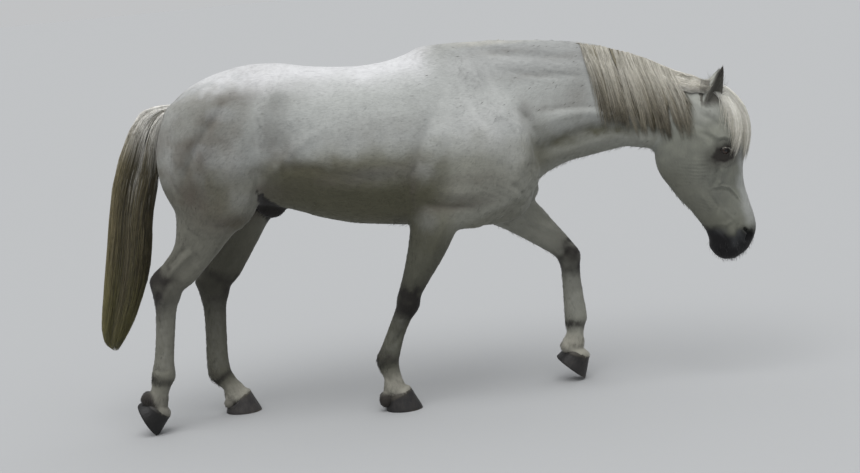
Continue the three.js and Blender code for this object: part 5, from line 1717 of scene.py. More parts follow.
# How dark each part of a leg is, by joints down the leg: fore and hind, front and back of it.
FORE_DARK = [(0.8, 0.0), (1.6, 0.12), (1.8, 0.4), (1.9, 0.95), (2.16, 0.95), (2.32, 0.4), (2.6, 0.16)]
HIND_DARK = [(0.8, 0.0), (1.5, 0.1), (1.84, 0.35), (1.93, 0.85), (2.16, 0.85), (2.36, 0.3), (2.6, 0.15)]
FOOT_DARK = [(2.78, 0.1), (2.9, 0.55), (2.98, 0.9), (3.08, 0.8), (3.2, 0.2), (3.5, 0.0), (5.0, 0.0)]


class Paint:
    """Tones that are worked over, one colour after another."""

    def __init__(self, first: Array, count: int) -> None:
        """Starts so many with the first colour."""
        self.tones = np.tile(first, (count, 1))

    def to(self, other: Array, share: Array) -> None:
        """Moves them towards another colour, by a share of the way each."""
        self.tones = mix(self.tones, other, np.clip(share, 0, 1)[:, None])


def cloud(x: Array, z: Array, row: Row, fine: Array, patchy: Array) -> Array:
    """How strongly a cloud shows at each place."""
    at_x, at_z, reach_x, reach_z, strength = row
    far = ((x - at_x + 12 * fine) / reach_x) ** 2 + ((z - at_z + 10 * patchy) / reach_z) ** 2
    return strength * np.exp(-far)


def coat_tone(points: Array, ways: Array) -> Array:
    """The coat's linear colour at places on the skin, with all its markings, painted light on the top of the
    back, and painted shade on the belly, the legs, the jaw, under the neck, in the groin and where the skin
    faces down.
    """
    lay = lay_of(points)
    x, z = points[:, 0], points[:, 2]
    cloudy, fine = grain(points, 85, 21), grain(points, 26, 22)
    patchy = grain(points, 12, 23)
    up = ways[:, 2]
    torso = lay.region != Region.HEAD
    tone = Paint(BODY, len(points))
    # Painted light: the top of the back and croup turns white where the skin faces up.
    top = smooth(z + 25 * cloudy, 1270, 1400) * smooth(up, 0.05, 0.7)
    tone.to(LIT_TOP, top * smooth(-x + 20 * cloudy, -150, -40))
    tone.to(PALE, 0.75 * dab(points[:, [0, 2]], (250, 1120), (140, 130)))
    ahead = smooth(x + 30 * cloudy, 60, 260) * torso
    tone.to(srgb(150, 151, 150), ahead * smooth(z, 1210, 1360) * 0.75)
    tone.to(srgb(176, 174, 166), ahead * smooth(z, 1416, 1436) * (0.6 + 0.4 * patchy))
    quarters = smooth(-x + 20 * cloudy, 560, 760) * torso
    tone.to(HAUNCH, quarters * smooth(1420 - z + 20 * fine, 10, 120) * 0.9)
    spots = np.clip(0.5 + 1.1 * grain(points, 48, 24) + 0.4 * fine, 0, 1) * quarters * smooth(z, 760, 900)
    tone.to(MOTTLE * 1.1, spots * 0.6 * smooth(1370 - z, 0, 260))
    dapple = np.clip(0.2 + 1.6 * grain(points, 19, 25) + 0.5 * patchy, 0, 1) * quarters * smooth(z, 780, 880)
    tone.to(MOTTLE, dapple * 0.5 * smooth(1250 - z, 0, 200) * (0.5 + 0.7 * cloudy))
    tone.to(srgb(158, 160, 160), 0.5 * smooth(grain(points, 60, 26), 0.15, 0.6) * quarters * (z > 820))
    # Painted shade: the lower barrel turns olive below a soft line, and darker still under the belly behind
    # the elbow.
    where = ramp(x, [(-900, 0.4), (-620, 0.5), (-520, 1.0), (20, 1.0), (140, 0.62), (700, 0.5)])
    low = 1120 - z + 30 * cloudy + 14 * fine
    tone.to(SHADE_OLIVE, where * smooth(low, -10, 130) * torso)
    tone.to(SHADE_OLIVE * 0.62, where * 0.85 * smooth(low, 40, 150) * smooth(-x, -160, 20) * torso)
    shift = np.where(points[:, 1] > 0, 40.0, 0.0) * (x < -500)
    for row in DAPPLES_AND_SHADE:
        share = cloud(x - shift, z, row, fine, patchy) * (0.75 + 0.3 * fine + 0.15 * patchy)
        share *= lay.joint < 1.6
        # Clouds low on the neck are painted shade, in olive; the others take the dapples' colour.
        tone.to(SHADE_OLIVE * 0.75 if row[0] > 440 and row[1] < 1110 else MOTTLE, share)
    for row in LIGHTS:
        tone.to(PALE * 0.85, cloud(x, z, row, fine, patchy) * torso)
    # Painted shade where the trunk's skin faces down.
    underside_shade = smooth(-ways[:, 2], 0.35, 0.9) * (lay.joint < 1) * (lay.region == Region.TORSO)
    tone.to(SHADE_OLIVE * 0.8, 0.5 * underside_shade)
    # The sheath's own dark skin, and painted shade in the groin beyond the fold of the flank.
    sheath_and_groin_shade = dab(points, (-606, 0, 874), (84, 62, 70)) * 2.4 + dab(points, (-690, 0, 905), (70, 42, 60))
    groin_shade = smooth(975 + 8 * fine - 1.3 * (x + 640) - z, 0, 26)
    sheath_and_groin_shade += 1.6 * groin_shade * smooth(x, -650, -625) * smooth(-x, 500, 530)
    tone.to(SOOT * 0.75, smooth(sheath_and_groin_shade + 0.25 * fine, 0.55, 1.0) * (lay.joint < 1.2))
    legs_tone(tone, points, lay, fine, patchy)
    head_tone(tone, points, ways, lay, fine, patchy)
    return tone.tones * (1 + 0.035 * fine + 0.03 * patchy + 0.03 * cloudy)[:, None]


def legs_tone(tone: Paint, points: Array, lay: Lay, fine: Array, patchy: Array) -> None:
    """The greyer legs, darker partly for painted shade, their dark knees, hocks and fetlocks, and their pale
    pasterns.
    """
    leg = lay.joint >= 0
    fore = (lay.region == Region.FORE_RIGHT) | (lay.region == Region.FORE_LEFT)
    joint = lay.joint + 0.05 * fine + 0.03 * patchy
    share = smooth(joint, 0.9, 1.5) * leg
    # Each leg's tone is partly its own greyer colour, partly painted shade.
    for limb in LEGS:
        tone.to(limb.tone * (1 + 0.1 * fine[:, None]), share * 0.92 * (lay.region == limb.region))
    front, outer = np.cos(lay.around), np.abs(np.sin(lay.around))
    near = lay.region == Region.FORE_RIGHT
    foot = joint - np.where(near, 0.0, 0.2) * smooth(joint, 2.6, 3.0)
    dark = np.where(fore, ramp(foot, FORE_DARK + FOOT_DARK), ramp(foot, HIND_DARK + FOOT_DARK))
    weight = np.where(fore, np.where(near, 1.05 + 0.1 * front, 0.9 + 0.15 * front), 0.85 - 0.5 * front)
    weight = np.where(lay.region == Region.HIND_LEFT, 0.85 + 0.1 * front, weight)
    weight = np.where(joint > 2.5, 0.9 - 0.1 * front, weight)
    soot = SOOT * np.where(near & (joint < 2.6), 0.62, 1.0)[:, None]
    tone.to(soot, dark * weight * (1 + 0.35 * fine) * leg)
    ridge = (joint > 2.1) & (joint < 2.95)
    tone.to(PALE, 0.12 * ridge * outer * (1 - dark) * (0.5 + 0.5 * patchy))
    for limb in LEGS:
        here = leg * (lay.region == limb.region)
        pale = PASTERN * limb.pastern
        tone.to(pale, smooth(foot, 3.1, 3.85) * here * (0.9 + 0.2 * patchy))
        own = points - foot_place(limb, np.zeros((1, 3)))[0]
        turn = math.radians(limb.tilt)
        up = own[:, 2] * math.cos(turn) + own[:, 0] * math.sin(turn)
        high, strength = limb.heel_dark
        heel = smooth(-up + 6 * fine, -high, 22 - high) * smooth(0.6 - front, 0, 0.5) * (joint > 3.3) * here
        tone.to(SOOT * 1.4, heel * strength)


def head_tone(tone: Paint, points: Array, ways: Array, lay: Lay, fine: Array, patchy: Array) -> None:
    """The face with painted shade under the jaw, the dark muzzle and eyelids, and the ears."""
    on = smooth(beyond(points, *HEAD_CUT), -60, 40) * (points[:, 2] < 1330) * (lay.joint < 0)
    on *= np.where(lay.region == Region.HEAD, 1.0, 0.6)
    x, z = points[:, 0], points[:, 2]
    face = Paint(FACE * 1.15, len(points))
    face.to(FACE * 0.8, 0.5 + 0.5 * fine + 0.3 * patchy)
    face.to(srgb(170, 171, 164), 0.7 * smooth(z, 1000, 1120))
    # Painted shade on the lower jaw, in olive.
    jaw = smooth(-(x - 1150) - 0.9 * (z - 620), -190, -20) * smooth(950 - z, 0, 120)
    face.to(SHADE_OLIVE * 0.7, 0.6 * jaw)
    bridge = ramp(z, [(600, 1272), (660, 1268), (785, 1248), (926, 1256), (1000, 1262)])
    bridge = smooth(x - bridge + 10 * fine, -6, 24) * smooth(z, 560, 640) * smooth(1000 - z, 0, 80)
    face.to(srgb(176, 178, 176), 0.6 * bridge)
    flank = points[:, [0, 2]]
    face.to(FACE * 0.62, 0.55 * dab(flank, (1200, 868), (34, 56)) * (0.8 + 0.5 * fine))
    face.to(FACE * 0.6, 0.85 * dab(flank, (1156, 800), (72, 90)) * (0.8 + 0.6 * fine))
    tone.to(face.tones, on * 0.85)
    side = np.sign(points[:, 1] - HEAD_Y)
    eye_x, eye_z = np.full(len(x), EYE_AT[0] + 5), np.full(len(x), EYE_AT[2] - 8)
    away = points - np.stack([eye_x, HEAD_Y + side * EYE_AT[1], eye_z], 1)
    flat = np.stack([away[:, 0] * 0.94 + away[:, 2] * 0.34, away[:, 2] * 0.94 - away[:, 0] * 0.34], 1)
    flat[:, 0] += np.where(flat[:, 0] < 0, -0.3 * flat[:, 0], 0.0)
    far = np.sqrt((flat[:, 0] / 39) ** 2 + (flat[:, 1] / 31) ** 2 + (away[:, 1] / 48) ** 2)
    tone.to(SOOT * 0.8, smooth(-far + 0.12 * patchy, -1.45, -0.95) * on)
    tone.to(SOOT * 1.5, 0.45 * smooth(-far + 0.3 * fine, -2.3, -1.3) * on)
    edge = z - ramp(x, [(1120, 622), (1150, 622), (1181, 612), (1226, 588), (1256, 610), (1310, 606)])
    dark = smooth(-edge + 8 * fine + 5 * patchy, -26, 22) * on
    tone.to(FACE * 0.55, 0.6 * smooth(-edge + 14 * fine, -100, 0) * on)
    tone.to(MUZZLE_TONE, dark)
    between = dab(flank, (1238, 578), (26, 44)) + 0.7 * dab(flank, (1196, 606), (40, 14))
    tone.to(srgb(74, 77, 78), 0.6 * dark * np.clip(between, 0, 1) * (0.8 + 0.5 * fine))
    nose = dab(points, (1296, HEAD_Y - 12, 655), (40, 40, 50)) * (0.7 + 0.5 * fine)
    tone.to(PALE * 0.9, 0.35 * nose * (1 - dark * 0.6))
    ear = smooth(z, 1096, 1136) * on * (x > 1128)
    tone.to(INNER_EAR, ear * in_ears(points, ways, -0.1, 0.5) * 0.85)
    tip = smooth(z, 1205, 1240) * ear
    tone.to(SOOT * 1.3, 0.75 * tip)


# ---- short coat


def lie_of(points: Array, ways: Array, lay: Lay) -> Array:
    """The way that the coat lies, along the surface."""
    x, z = points[:, 0], points[:, 2]

    def to(now: Array, way: Row, share: Array) -> Array:
        return mix(now, np.array(way), np.clip(share, 0, 1)[:, None])

    way = np.tile(np.array([-1.0, 0.0, -0.3]), (len(points), 1))
    way = to(way, (-0.45, 0.0, -0.9), smooth(-x, 560, 860))
    way = to(way, (-0.8, 0.0, -0.6), smooth(900 - z, -60, 120))
    way = to(way, (-0.5, 0.0, -0.85), smooth(x, 80, 260) * smooth(1150 - z, 0, 220))
    body = lay.joint < 0
    way = to(way, (-0.85, 0.0, -0.5), smooth(beyond(points, *NECK_CUT), -120, 120) * body)
    way = to(way, (0.25, 0.0, -0.95), smooth(beyond(points, *HEAD_CUT), -40, 60) * (z < 1330) * body)
    way = to(way, (0.3, 0.0, 0.95), smooth(z, 1120, 1150) * (x > 1130) * (lay.region == Region.HEAD))
    for leg in LEGS:
        joints = np.array(leg.joints)[1:, :2]
        here = lay.region == leg.region
        steps = unit(np.diff(joints, axis=0))
        which = np.clip(lay.joint - 1, 0, len(steps) - 1.001)
        low = which.astype(int)
        turn = smooth(which - low, 0.7, 1.0)[:, None]
        down = unit(mix(steps[low], steps[np.minimum(low + 1, len(steps) - 1)], turn))
        full = np.stack([down[:, 0], np.zeros(len(x)), down[:, 1]], 1)
        share = (smooth(lay.joint, 1.0, 1.5) * here)[:, None]
        way = mix(way, full, share)
    way[:, 0] += 0.22 * grain(points, 130, 31)
    way[:, 2] += 0.22 * grain(points, 130, 32)
    way[:, 1] += 0.12 * grain(points, 90, 33)
    return unit(way - ways * np.sum(way * ways, axis=1, keepdims=True))


def hair_length(points: Array, lay: Lay) -> Array:
    """How long the short coat is, in millimetres."""
    z = points[:, 2]
    length = np.full(len(points), 15.0)
    length += 4.0 * smooth(930 - z, 0, 100) * (lay.joint < 0)
    length = mix(length, 10.5, smooth(lay.joint, 1.2, 2.0))
    length = mix(length, 13.0, smooth(lay.joint, 2.9, 3.6))
    head = smooth(beyond(points, *HEAD_CUT), -60, 80) * (z < 1330) * (lay.joint < 0)
    length = mix(length, 9.0, head)
    length = mix(length, 4.5, head * smooth(700 - z, 0, 130))
    eyes = np.abs(points[:, 1] - HEAD_Y) - EYE_AT[1]
    near = np.exp(-((points[:, 0] - EYE_AT[0]) ** 2 + eyes**2 + (z - EYE_AT[2]) ** 2) / 45**2) * head
    return mix(length, 4.0, np.clip(near * 1.3, 0, 1))


@dataclass
class Roots:
    """Places on the skin where hair grows, the ways out there, and where they lie on the body."""

    points: Array
    ways: Array
    lay: Lay

    def at(self, chosen: Array) -> "Roots":
        """Some of them."""
        lay = Lay(**{name: values[chosen] for name, values in vars(self.lay).items()})
        return Roots(self.points[chosen], self.ways[chosen], lay)


class Ground:
    """The skin, as the ground that the coat grows on."""

    def __init__(self, skin: Piece) -> None:
        """Measures the skin's faces."""
        self.skin = skin
        self.points, self.ways, self.faces = read(skin), normals(skin), triangles(skin)
        corners = self.points[self.faces]
        cross = np.cross(corners[:, 1] - corners[:, 0], corners[:, 2] - corners[:, 0])
        self.area = np.linalg.norm(cross, axis=1) / 2
        self.middle, self.facing = corners.mean(axis=1), unit(cross)
        self.lay = lay_of(self.middle)

    def sow(self, count: int, density: Array, seed: int) -> Roots:
        """Draws so many places, by the density that each face has."""
        draw = np.random.default_rng(seed)
        weight = self.area * density
        face = draw.choice(len(weight), count, p=weight / weight.sum())
        a, b = np.sqrt(draw.random(count)), draw.random(count)
        shares = np.stack([1 - a, a * (1 - b), a * b], axis=1)[..., None]
        points = (self.points[self.faces[face]] * shares).sum(axis=1)
        ways = unit((self.ways[self.faces[face]] * shares).sum(axis=1))
        return Roots(points, ways, lay_of(points))


@dataclass
class Coat:
    """The short coat, in flat tufts that overlap along the body."""

    ground: Ground
    count: int = 90_000

    def build(self) -> list[Piece]:
        """Makes its tufts, in pieces by where they grow."""
        ground = self.ground
        length = hair_length(ground.middle, ground.lay)
        roots = ground.sow(self.count, (15.0 / length) ** 1.5, 41)
        group = np.where(roots.lay.joint >= 1.0, 3, np.where(roots.points[:, 1] < 0, 0, 1))
        group = np.where(roots.lay.region == Region.HEAD, 2, group)
        names = ("coat_right", "coat_left", "coat_head", "coat_legs")
        return [self.tufts(name, roots.at(group == n), 42 + n) for n, name in enumerate(names)]

    def tufts(self, name: str, roots: Roots, seed: int) -> Piece:
        """One piece of the coat."""
        draw = np.random.default_rng(seed)
        count = len(roots.points)
        length = hair_length(roots.points, roots.lay) * draw.uniform(0.75, 1.25, count)
        lie = lie_of(roots.points, roots.ways, roots.lay)
        across = np.cross(roots.ways, lie)
        lie = unit(lie + across * draw.normal(0, 0.13, count)[:, None])
        across = np.cross(roots.ways, lie)
        out = roots.ways
        half = (length * draw.uniform(0.08, 0.12, count))[:, None]
        rise = (0.2 + length * draw.uniform(0.015, 0.045, count))[:, None]
        long = length[:, None]
        base = roots.points - out * 0.8
        ridge = base + lie * long * 0.22 + out * (0.8 + rise * 0.75)
        tip = roots.points + lie * long + out * rise
        points = np.stack([base - across * half, base + across * half, ridge, tip], axis=1)
        pattern = np.array([(1, 0, 2), (0, 3, 2), (3, 1, 2), (0, 1, 3)])
        faces = (pattern[None] + 4 * np.arange(count)[:, None, None]).reshape(-1, 3)
        piece = piece_of(name, points.reshape(-1, 3), faces)
        tone = coat_tone(roots.points, roots.ways)
        often = 0.008 * smooth(roots.points[:, 0], -100, 450) * (0.4 + smooth(roots.points[:, 2], 1100, 1180))
        flecked = (draw.random(count) < often) & (tone[:, 0] > 0.2)
        tone = np.where(flecked[:, None], SOOT * 2.2, tone * draw.uniform(0.86, 1.12, count)[:, None])
        shares = np.array([0.9, 0.9, 1.0, 1.06])
        colour(piece, "tone", (tone[:, None] * shares[None, :, None]).reshape(-1, 3))
        facing = np.stack([out - across * 0.4, out + across * 0.4, out, out + lie * 0.25], axis=1)
        piece.data.normals_split_custom_set_from_vertices(unit(facing).reshape(-1, 3))
        patch(piece, on_sheet(roots.lay), np.array([0.0, 0.0, 0.3, 1.0]), np.array([0.0, 1.0, 0.5, 0.5]))
        return piece


@dataclass(frozen=True)
class Fringe:
    """Longer hair on one part of the skin.

    Attributes:
        name: The piece that it makes.
        count, length, width: The number of its strands, and their size.
        lift: How far they stand off, as a share of their length.
        hang: How much they hang down.
        regions: The regions that have it. None is all of them.
        joints: How many joints down the leg it starts and ends.
        band: The heights that it starts and ends at.
        behind, under, in_ear: Whether it is only behind the leg, where the skin faces down, or in the ears.
        shade: Its lightness beside the coat's.
    """

    name: str
    count: int
    length: float
    width: float = 1.3
    lift: float = 0.15
    hang: float = 0.4
    regions: tuple[Region, ...] = ()
    joints: Pair | None = None
    band: Pair = (-100.0, 2000.0)
    behind: bool = False
    under: bool = False
    in_ear: bool = False
    shade: float = 1.0

    def density(self, ground: Ground) -> Array:
        """How densely it grows on each face of the skin."""
        points, ways, lay = ground.middle, ground.facing, ground.lay
        density = window(points[:, 2], *self.band, 12)
        if self.regions:
            density *= np.isin(lay.region, self.regions)
        if self.joints:
            density *= window(lay.joint, *self.joints, 0.08)
        if self.behind:
            density *= smooth(-np.cos(lay.around), 0.1, 0.7)
        if self.under:
            density *= smooth(-ways[:, 2], 0.25, 0.7)
        if self.in_ear:
            density *= in_ears(points, ways, -0.2, 0.4) * (points[:, 0] > 1140)
        return density

    def build(self, ground: Ground, seed: int) -> Piece:
        """Grows it."""
        draw = np.random.default_rng(seed)
        roots = ground.sow(self.count, self.density(ground), seed)
        lie = lie_of(roots.points, roots.ways, roots.lay)
        across = np.cross(roots.ways, lie)
        lie = unit(lie + across * draw.normal(0, 0.22, self.count)[:, None])
        lie[:, 2] -= self.hang
        lie = unit(lie)
        steps = 5
        length = (self.length * draw.uniform(0.65, 1.3, self.count))[:, None]
        stand = (self.lift * draw.uniform(0.5, 1.5, self.count))[:, None] * length
        paths = np.zeros((self.count, steps, 3))
        for n, t in enumerate(np.linspace(0, 1, steps)):
            paths[:, n] = roots.points + lie * length * t + roots.ways * stand * math.sin(1.9 * t)
            paths[:, n] -= roots.ways * (1.0 if n == 0 else 0.0)
            paths[:, n, 2] -= self.hang * 6 * t * t
        paths[..., 2] = np.maximum(paths[..., 2], 3.0)
        outs = np.repeat(roots.ways[:, None], steps, axis=1) + draw.normal(0, 0.2, (self.count, steps, 3))
        tone = coat_tone(roots.points, roots.ways) * self.shade
        tone = tone * draw.uniform(0.82, 1.12, self.count)[:, None]
        width = self.width * draw.uniform(0.7, 1.3, self.count)
        return Hair(paths, unit(outs), width, tone * 0.94, np.minimum(tone * 1.06, 0.9)).build(self.name)


FRINGES = [
    Fringe("feather", 900, 15, hang=0.4, lift=0.14, joints=(2.86, 3.35), behind=True, shade=1.1),
    Fringe("coronet_fringe", 1500, 15, hang=0.6, lift=0.12, joints=(3.72, 4.1)),
    Fringe("cannon_fringe", 500, 15, lift=0.12, joints=(2.1, 2.85), behind=True),
    Fringe("forearm_fringe", 400, 18, lift=0.12, joints=(1.1, 1.9), behind=True),
    Fringe("jaw_fringe", 500, 16, lift=0.12, regions=(Region.HEAD, Region.NECK), under=True),
    Fringe("belly_fringe", 600, 16, 1.0, 0.05, 0.1, regions=(Region.TORSO,), under=True),
    Fringe("chin_hair", 170, 17, 0.8, 0.35, 0.4, regions=(Region.HEAD,), band=(430, 560), shade=1.3),
    Fringe("ear_hair", 420, 24, 1.0, 0.45, 0.0, (Region.HEAD,), band=(1120, 1230), in_ear=True, shade=1.4),
]


# ---- eyes


@dataclass(frozen=True)
class Eye:
    """One eye: the ball with its iris and pupil, and the lashes over it."""

    side: int
    around: int = 144
    rings: int = 100

    def ways(self) -> tuple[Array, Array, Array]:
        """Along the slot between the lids, up across it, and out of the eye."""
        out = unit(np.array([0.3, self.side * 0.95, 0.04]))
        lean = ALMOND.tilt
        along = np.array([math.cos(lean), 0.0, -math.sin(lean)])
        along = unit(along - out * (along @ out))
        up = np.cross(out, along)
        return along, up * np.sign(up[2]), out

    def centre(self) -> Array:
        """Its middle."""
        return np.array([EYE_AT[0], HEAD_Y + self.side * EYE_AT[1], EYE_AT[2]])

    def ball(self) -> Piece:
        """The eyeball, with the cornea's swelling."""
        along, up, out = self.ways()
        lean = np.repeat(np.linspace(0.02, math.pi - 0.02, self.rings), self.around)
        turn = np.tile(2 * math.pi * np.arange(self.around) / self.around, self.rings)
        turn = turn * (1 if np.cross(along, up) @ out > 0 else -1)
        ring = np.sin(lean)
        a, b = ring * np.cos(turn), ring * np.sin(turn)
        reach = EYE_RADIUS + 1.5 * (1 - np.clip(lean / 0.75, 0, 1) ** 2) ** 2
        points = self.centre() + reach[:, None] * (
            np.outer(a, along) + np.outer(b, up) + np.outer(np.cos(lean), out)
        )
        n = self.around
        faces = [(a, d, c, b) for a, b, c, d in tube_faces(self.rings - 1, n)]
        faces.append(tuple(range(n)))
        faces.append(tuple(reversed(range((self.rings - 1) * n, self.rings * n))))
        piece = piece_of(f"eye_{SIDE_WORDS[self.side]}_ball", points, faces)
        streaks = grain(np.stack([turn * 60, lean * 12, turn * 0], 1), 3.0, 61)
        tone = Paint(srgb(26, 18, 13), len(points))
        tone.to(srgb(58, 38, 25), 0.5 + 0.5 * streaks)
        tone.to(srgb(15, 11, 9), smooth(ring, 0.5, 0.68))
        tone.to(srgb(52, 44, 38), smooth(ring, 0.7, 0.85) + (lean > 1.5))
        pupil = np.sqrt((a / 0.4) ** 2 + (b / 0.2) ** 2)
        tone.to(srgb(7, 7, 10), smooth(-pupil, -1.06, -0.94) * (lean < 1.5))
        colour(piece, "tone", tone.tones)
        settle(piece.data)
        return piece

    def lashes(self) -> Piece:
        """The lashes of the upper lid."""
        draw = np.random.default_rng(63 + self.side)
        count, steps = 150, 6
        along, up, out = self.ways()
        a = draw.uniform(-18.0, 17.0, count)
        b = -ALMOND.apart + np.sqrt(ALMOND.reach**2 - a**2) + draw.uniform(0.5, 3.0, count)
        c = np.sqrt((EYE_RADIUS + LID - 0.5) ** 2 - a**2 - b**2)
        root = self.centre() + np.outer(a, along) + np.outer(b, up) + np.outer(c, out)
        first = unit(np.outer(a * 0.03, along) + 0.35 * up + 1.0 * out + draw.normal(0, 0.1, (count, 3)))
        then = unit(np.outer(a * 0.02, along) - 0.75 * up + 0.75 * out + draw.normal(0, 0.1, (count, 3)))
        long = draw.uniform(8, 15, count)[:, None]
        paths = np.zeros((count, steps, 3))
        for n, t in enumerate(np.linspace(0, 1, steps)):
            paths[:, n] = root + first * long * t + (then - first) * long * t * t * 0.6
        paths[:, 0] = root - first * 1.5
        pale = draw.random((count, 1))
        tone = mix(srgb(60, 56, 50), srgb(214, 210, 200), smooth(pale, 0.3, 0.7))
        outs = np.repeat(np.tile(out, (count, 1))[:, None], steps, axis=1)
        hair = Hair(paths, outs, draw.uniform(0.5, 0.8, count), tone, tone, (1.0, 0.2))
        return hair.build(f"lashes_{SIDE_WORDS[self.side]}")


# ---- hooves


def block(low: Row, high: Row) -> Piece:
    """A box between two corners."""
    bpy.ops.mesh.primitive_cube_add(size=1.0)
    made = bpy.context.object
    low, high = PLACE.metres(np.array(low, float)), PLACE.metres(np.array(high, float))
    made.data.transform(Matrix.Translation((low + high) / 2) @ Matrix.Diagonal((*(high - low), 1.0)))
    return made


HOOF = sections([
    (22, 90, -42, 70, 30),
    (38, 86, -59, 58, 46),
    (56, 52, -65, 32, 54),
    (75, 14, -69, 7, 61),
    (80, 0, -67, 0, 61),
    (82, -8, -67, -8, 61),
])
CROWN_AT, CROWN_UP = (38.0, 82.0), (-0.364, 0.931)


def foot_place(leg: Leg, points: Array) -> Array:
    """Places in a hoof's own frame, whose middle is under the sole, on the animal."""
    turn = math.radians(leg.tilt)
    x = points[:, 0] * math.cos(turn) + points[:, 2] * math.sin(turn) + leg.sole[0]
    z = points[:, 2] * math.cos(turn) - points[:, 0] * math.sin(turn) + leg.sole[1]
    return np.stack([x, points[:, 1] + leg.side * leg.joints[-1][2], z], axis=1)


@dataclass(frozen=True)
class Hoof:
    """A hoof, with its ringed wall, its hollow sole and the frog."""

    leg: Leg
    seed: int

    def build(self) -> Piece:
        """Makes it in its own frame, and then puts it on the leg."""
        points, faces = Loft(HOOF, 96, 128, grow=0.0).mesh()
        down = self.down(points)
        behind = smooth(20 - points[:, 0], 0, 60) * (points[:, 2] > 0)
        points[:, 2] *= mix(1.0, self.leg.heel_height, behind)
        out = unit(points * np.array([1.0, 1.0, 0.0]))
        rings = np.sin(2 * math.pi * down / 5.2 + 1.5 * grain(points, 30, self.seed))
        rise = 0.3 * rings * (0.6 + 0.4 * grain(points, 18, self.seed + 1))
        rise += 0.9 * np.exp(-((down / 5.0) ** 2))
        rise += 0.5 * grain(points * np.array([1, 1, 0.15]), 5.0, self.seed + 2)
        rise *= smooth(down, -8, 2) * (points[:, 2] > -4)
        hoof = piece_of(self.leg.name + "_horn", points + out * rise[:, None], faces)
        cut(hoof, block((-200, -200, -100), (200, 200, 0)))
        cut(hoof, ball((14, 0, -10), (57, 46, 20)))
        cut(hoof, ball((-66, 0, -4), (34, 17, 16)))
        frog = ball((-24, 0, 3.5), (44, 14, 9))
        cut(frog, ball((-34, 0, -4), (22, 3.5, 8)))
        cut(hoof, frog, Cut.UNION)
        cut(hoof, block((-200, -200, -100), (200, 200, 0)))
        points = read(hoof)
        colour(hoof, "tone", self.tone(points, normals(hoof)))
        write(hoof, foot_place(self.leg, points))
        cut(hoof, block((-2000, -400, -100), (2000, 400, 0)))
        settle(hoof.data, 38)
        return hoof

    def down(self, points: Array) -> Array:
        """How far places are below the crown of the hoof."""
        return -((points[:, 0] - CROWN_AT[0]) * CROWN_UP[0] + (points[:, 2] - CROWN_AT[1]) * CROWN_UP[1])

    def tone(self, points: Array, ways: Array) -> Array:
        """The horn's colour."""
        down = self.down(points)
        bands = grain(points, 22, self.seed + 4)
        streaks = grain(points * np.array([1, 1, 0.1]), 4.0, self.seed + 5)
        tone = Paint(srgb(56, 54, 55), len(points))
        tone.to(srgb(84, 80, 76), 0.4 + 0.35 * bands + 0.3 * streaks)
        tone.to(srgb(104, 98, 86), 0.8 * np.exp(-((np.maximum(down, 0) / 5.0) ** 2)))
        low = smooth(-points[:, 2], -9, -1) * smooth(points[:, 0], 10, 60)
        tone.to(srgb(120, 110, 94), low * (0.25 + 0.6 * grain(points, 9, self.seed + 6)))
        tone.to(srgb(38, 36, 35), smooth(-points[:, 0], 30, 52) * 0.8)
        tone.to(srgb(74, 69, 60), smooth(-ways[:, 2], 0.4, 0.8) * (points[:, 2] < 14) * 0.8)
        return tone.tones * self.leg.horn


# ---- the studio


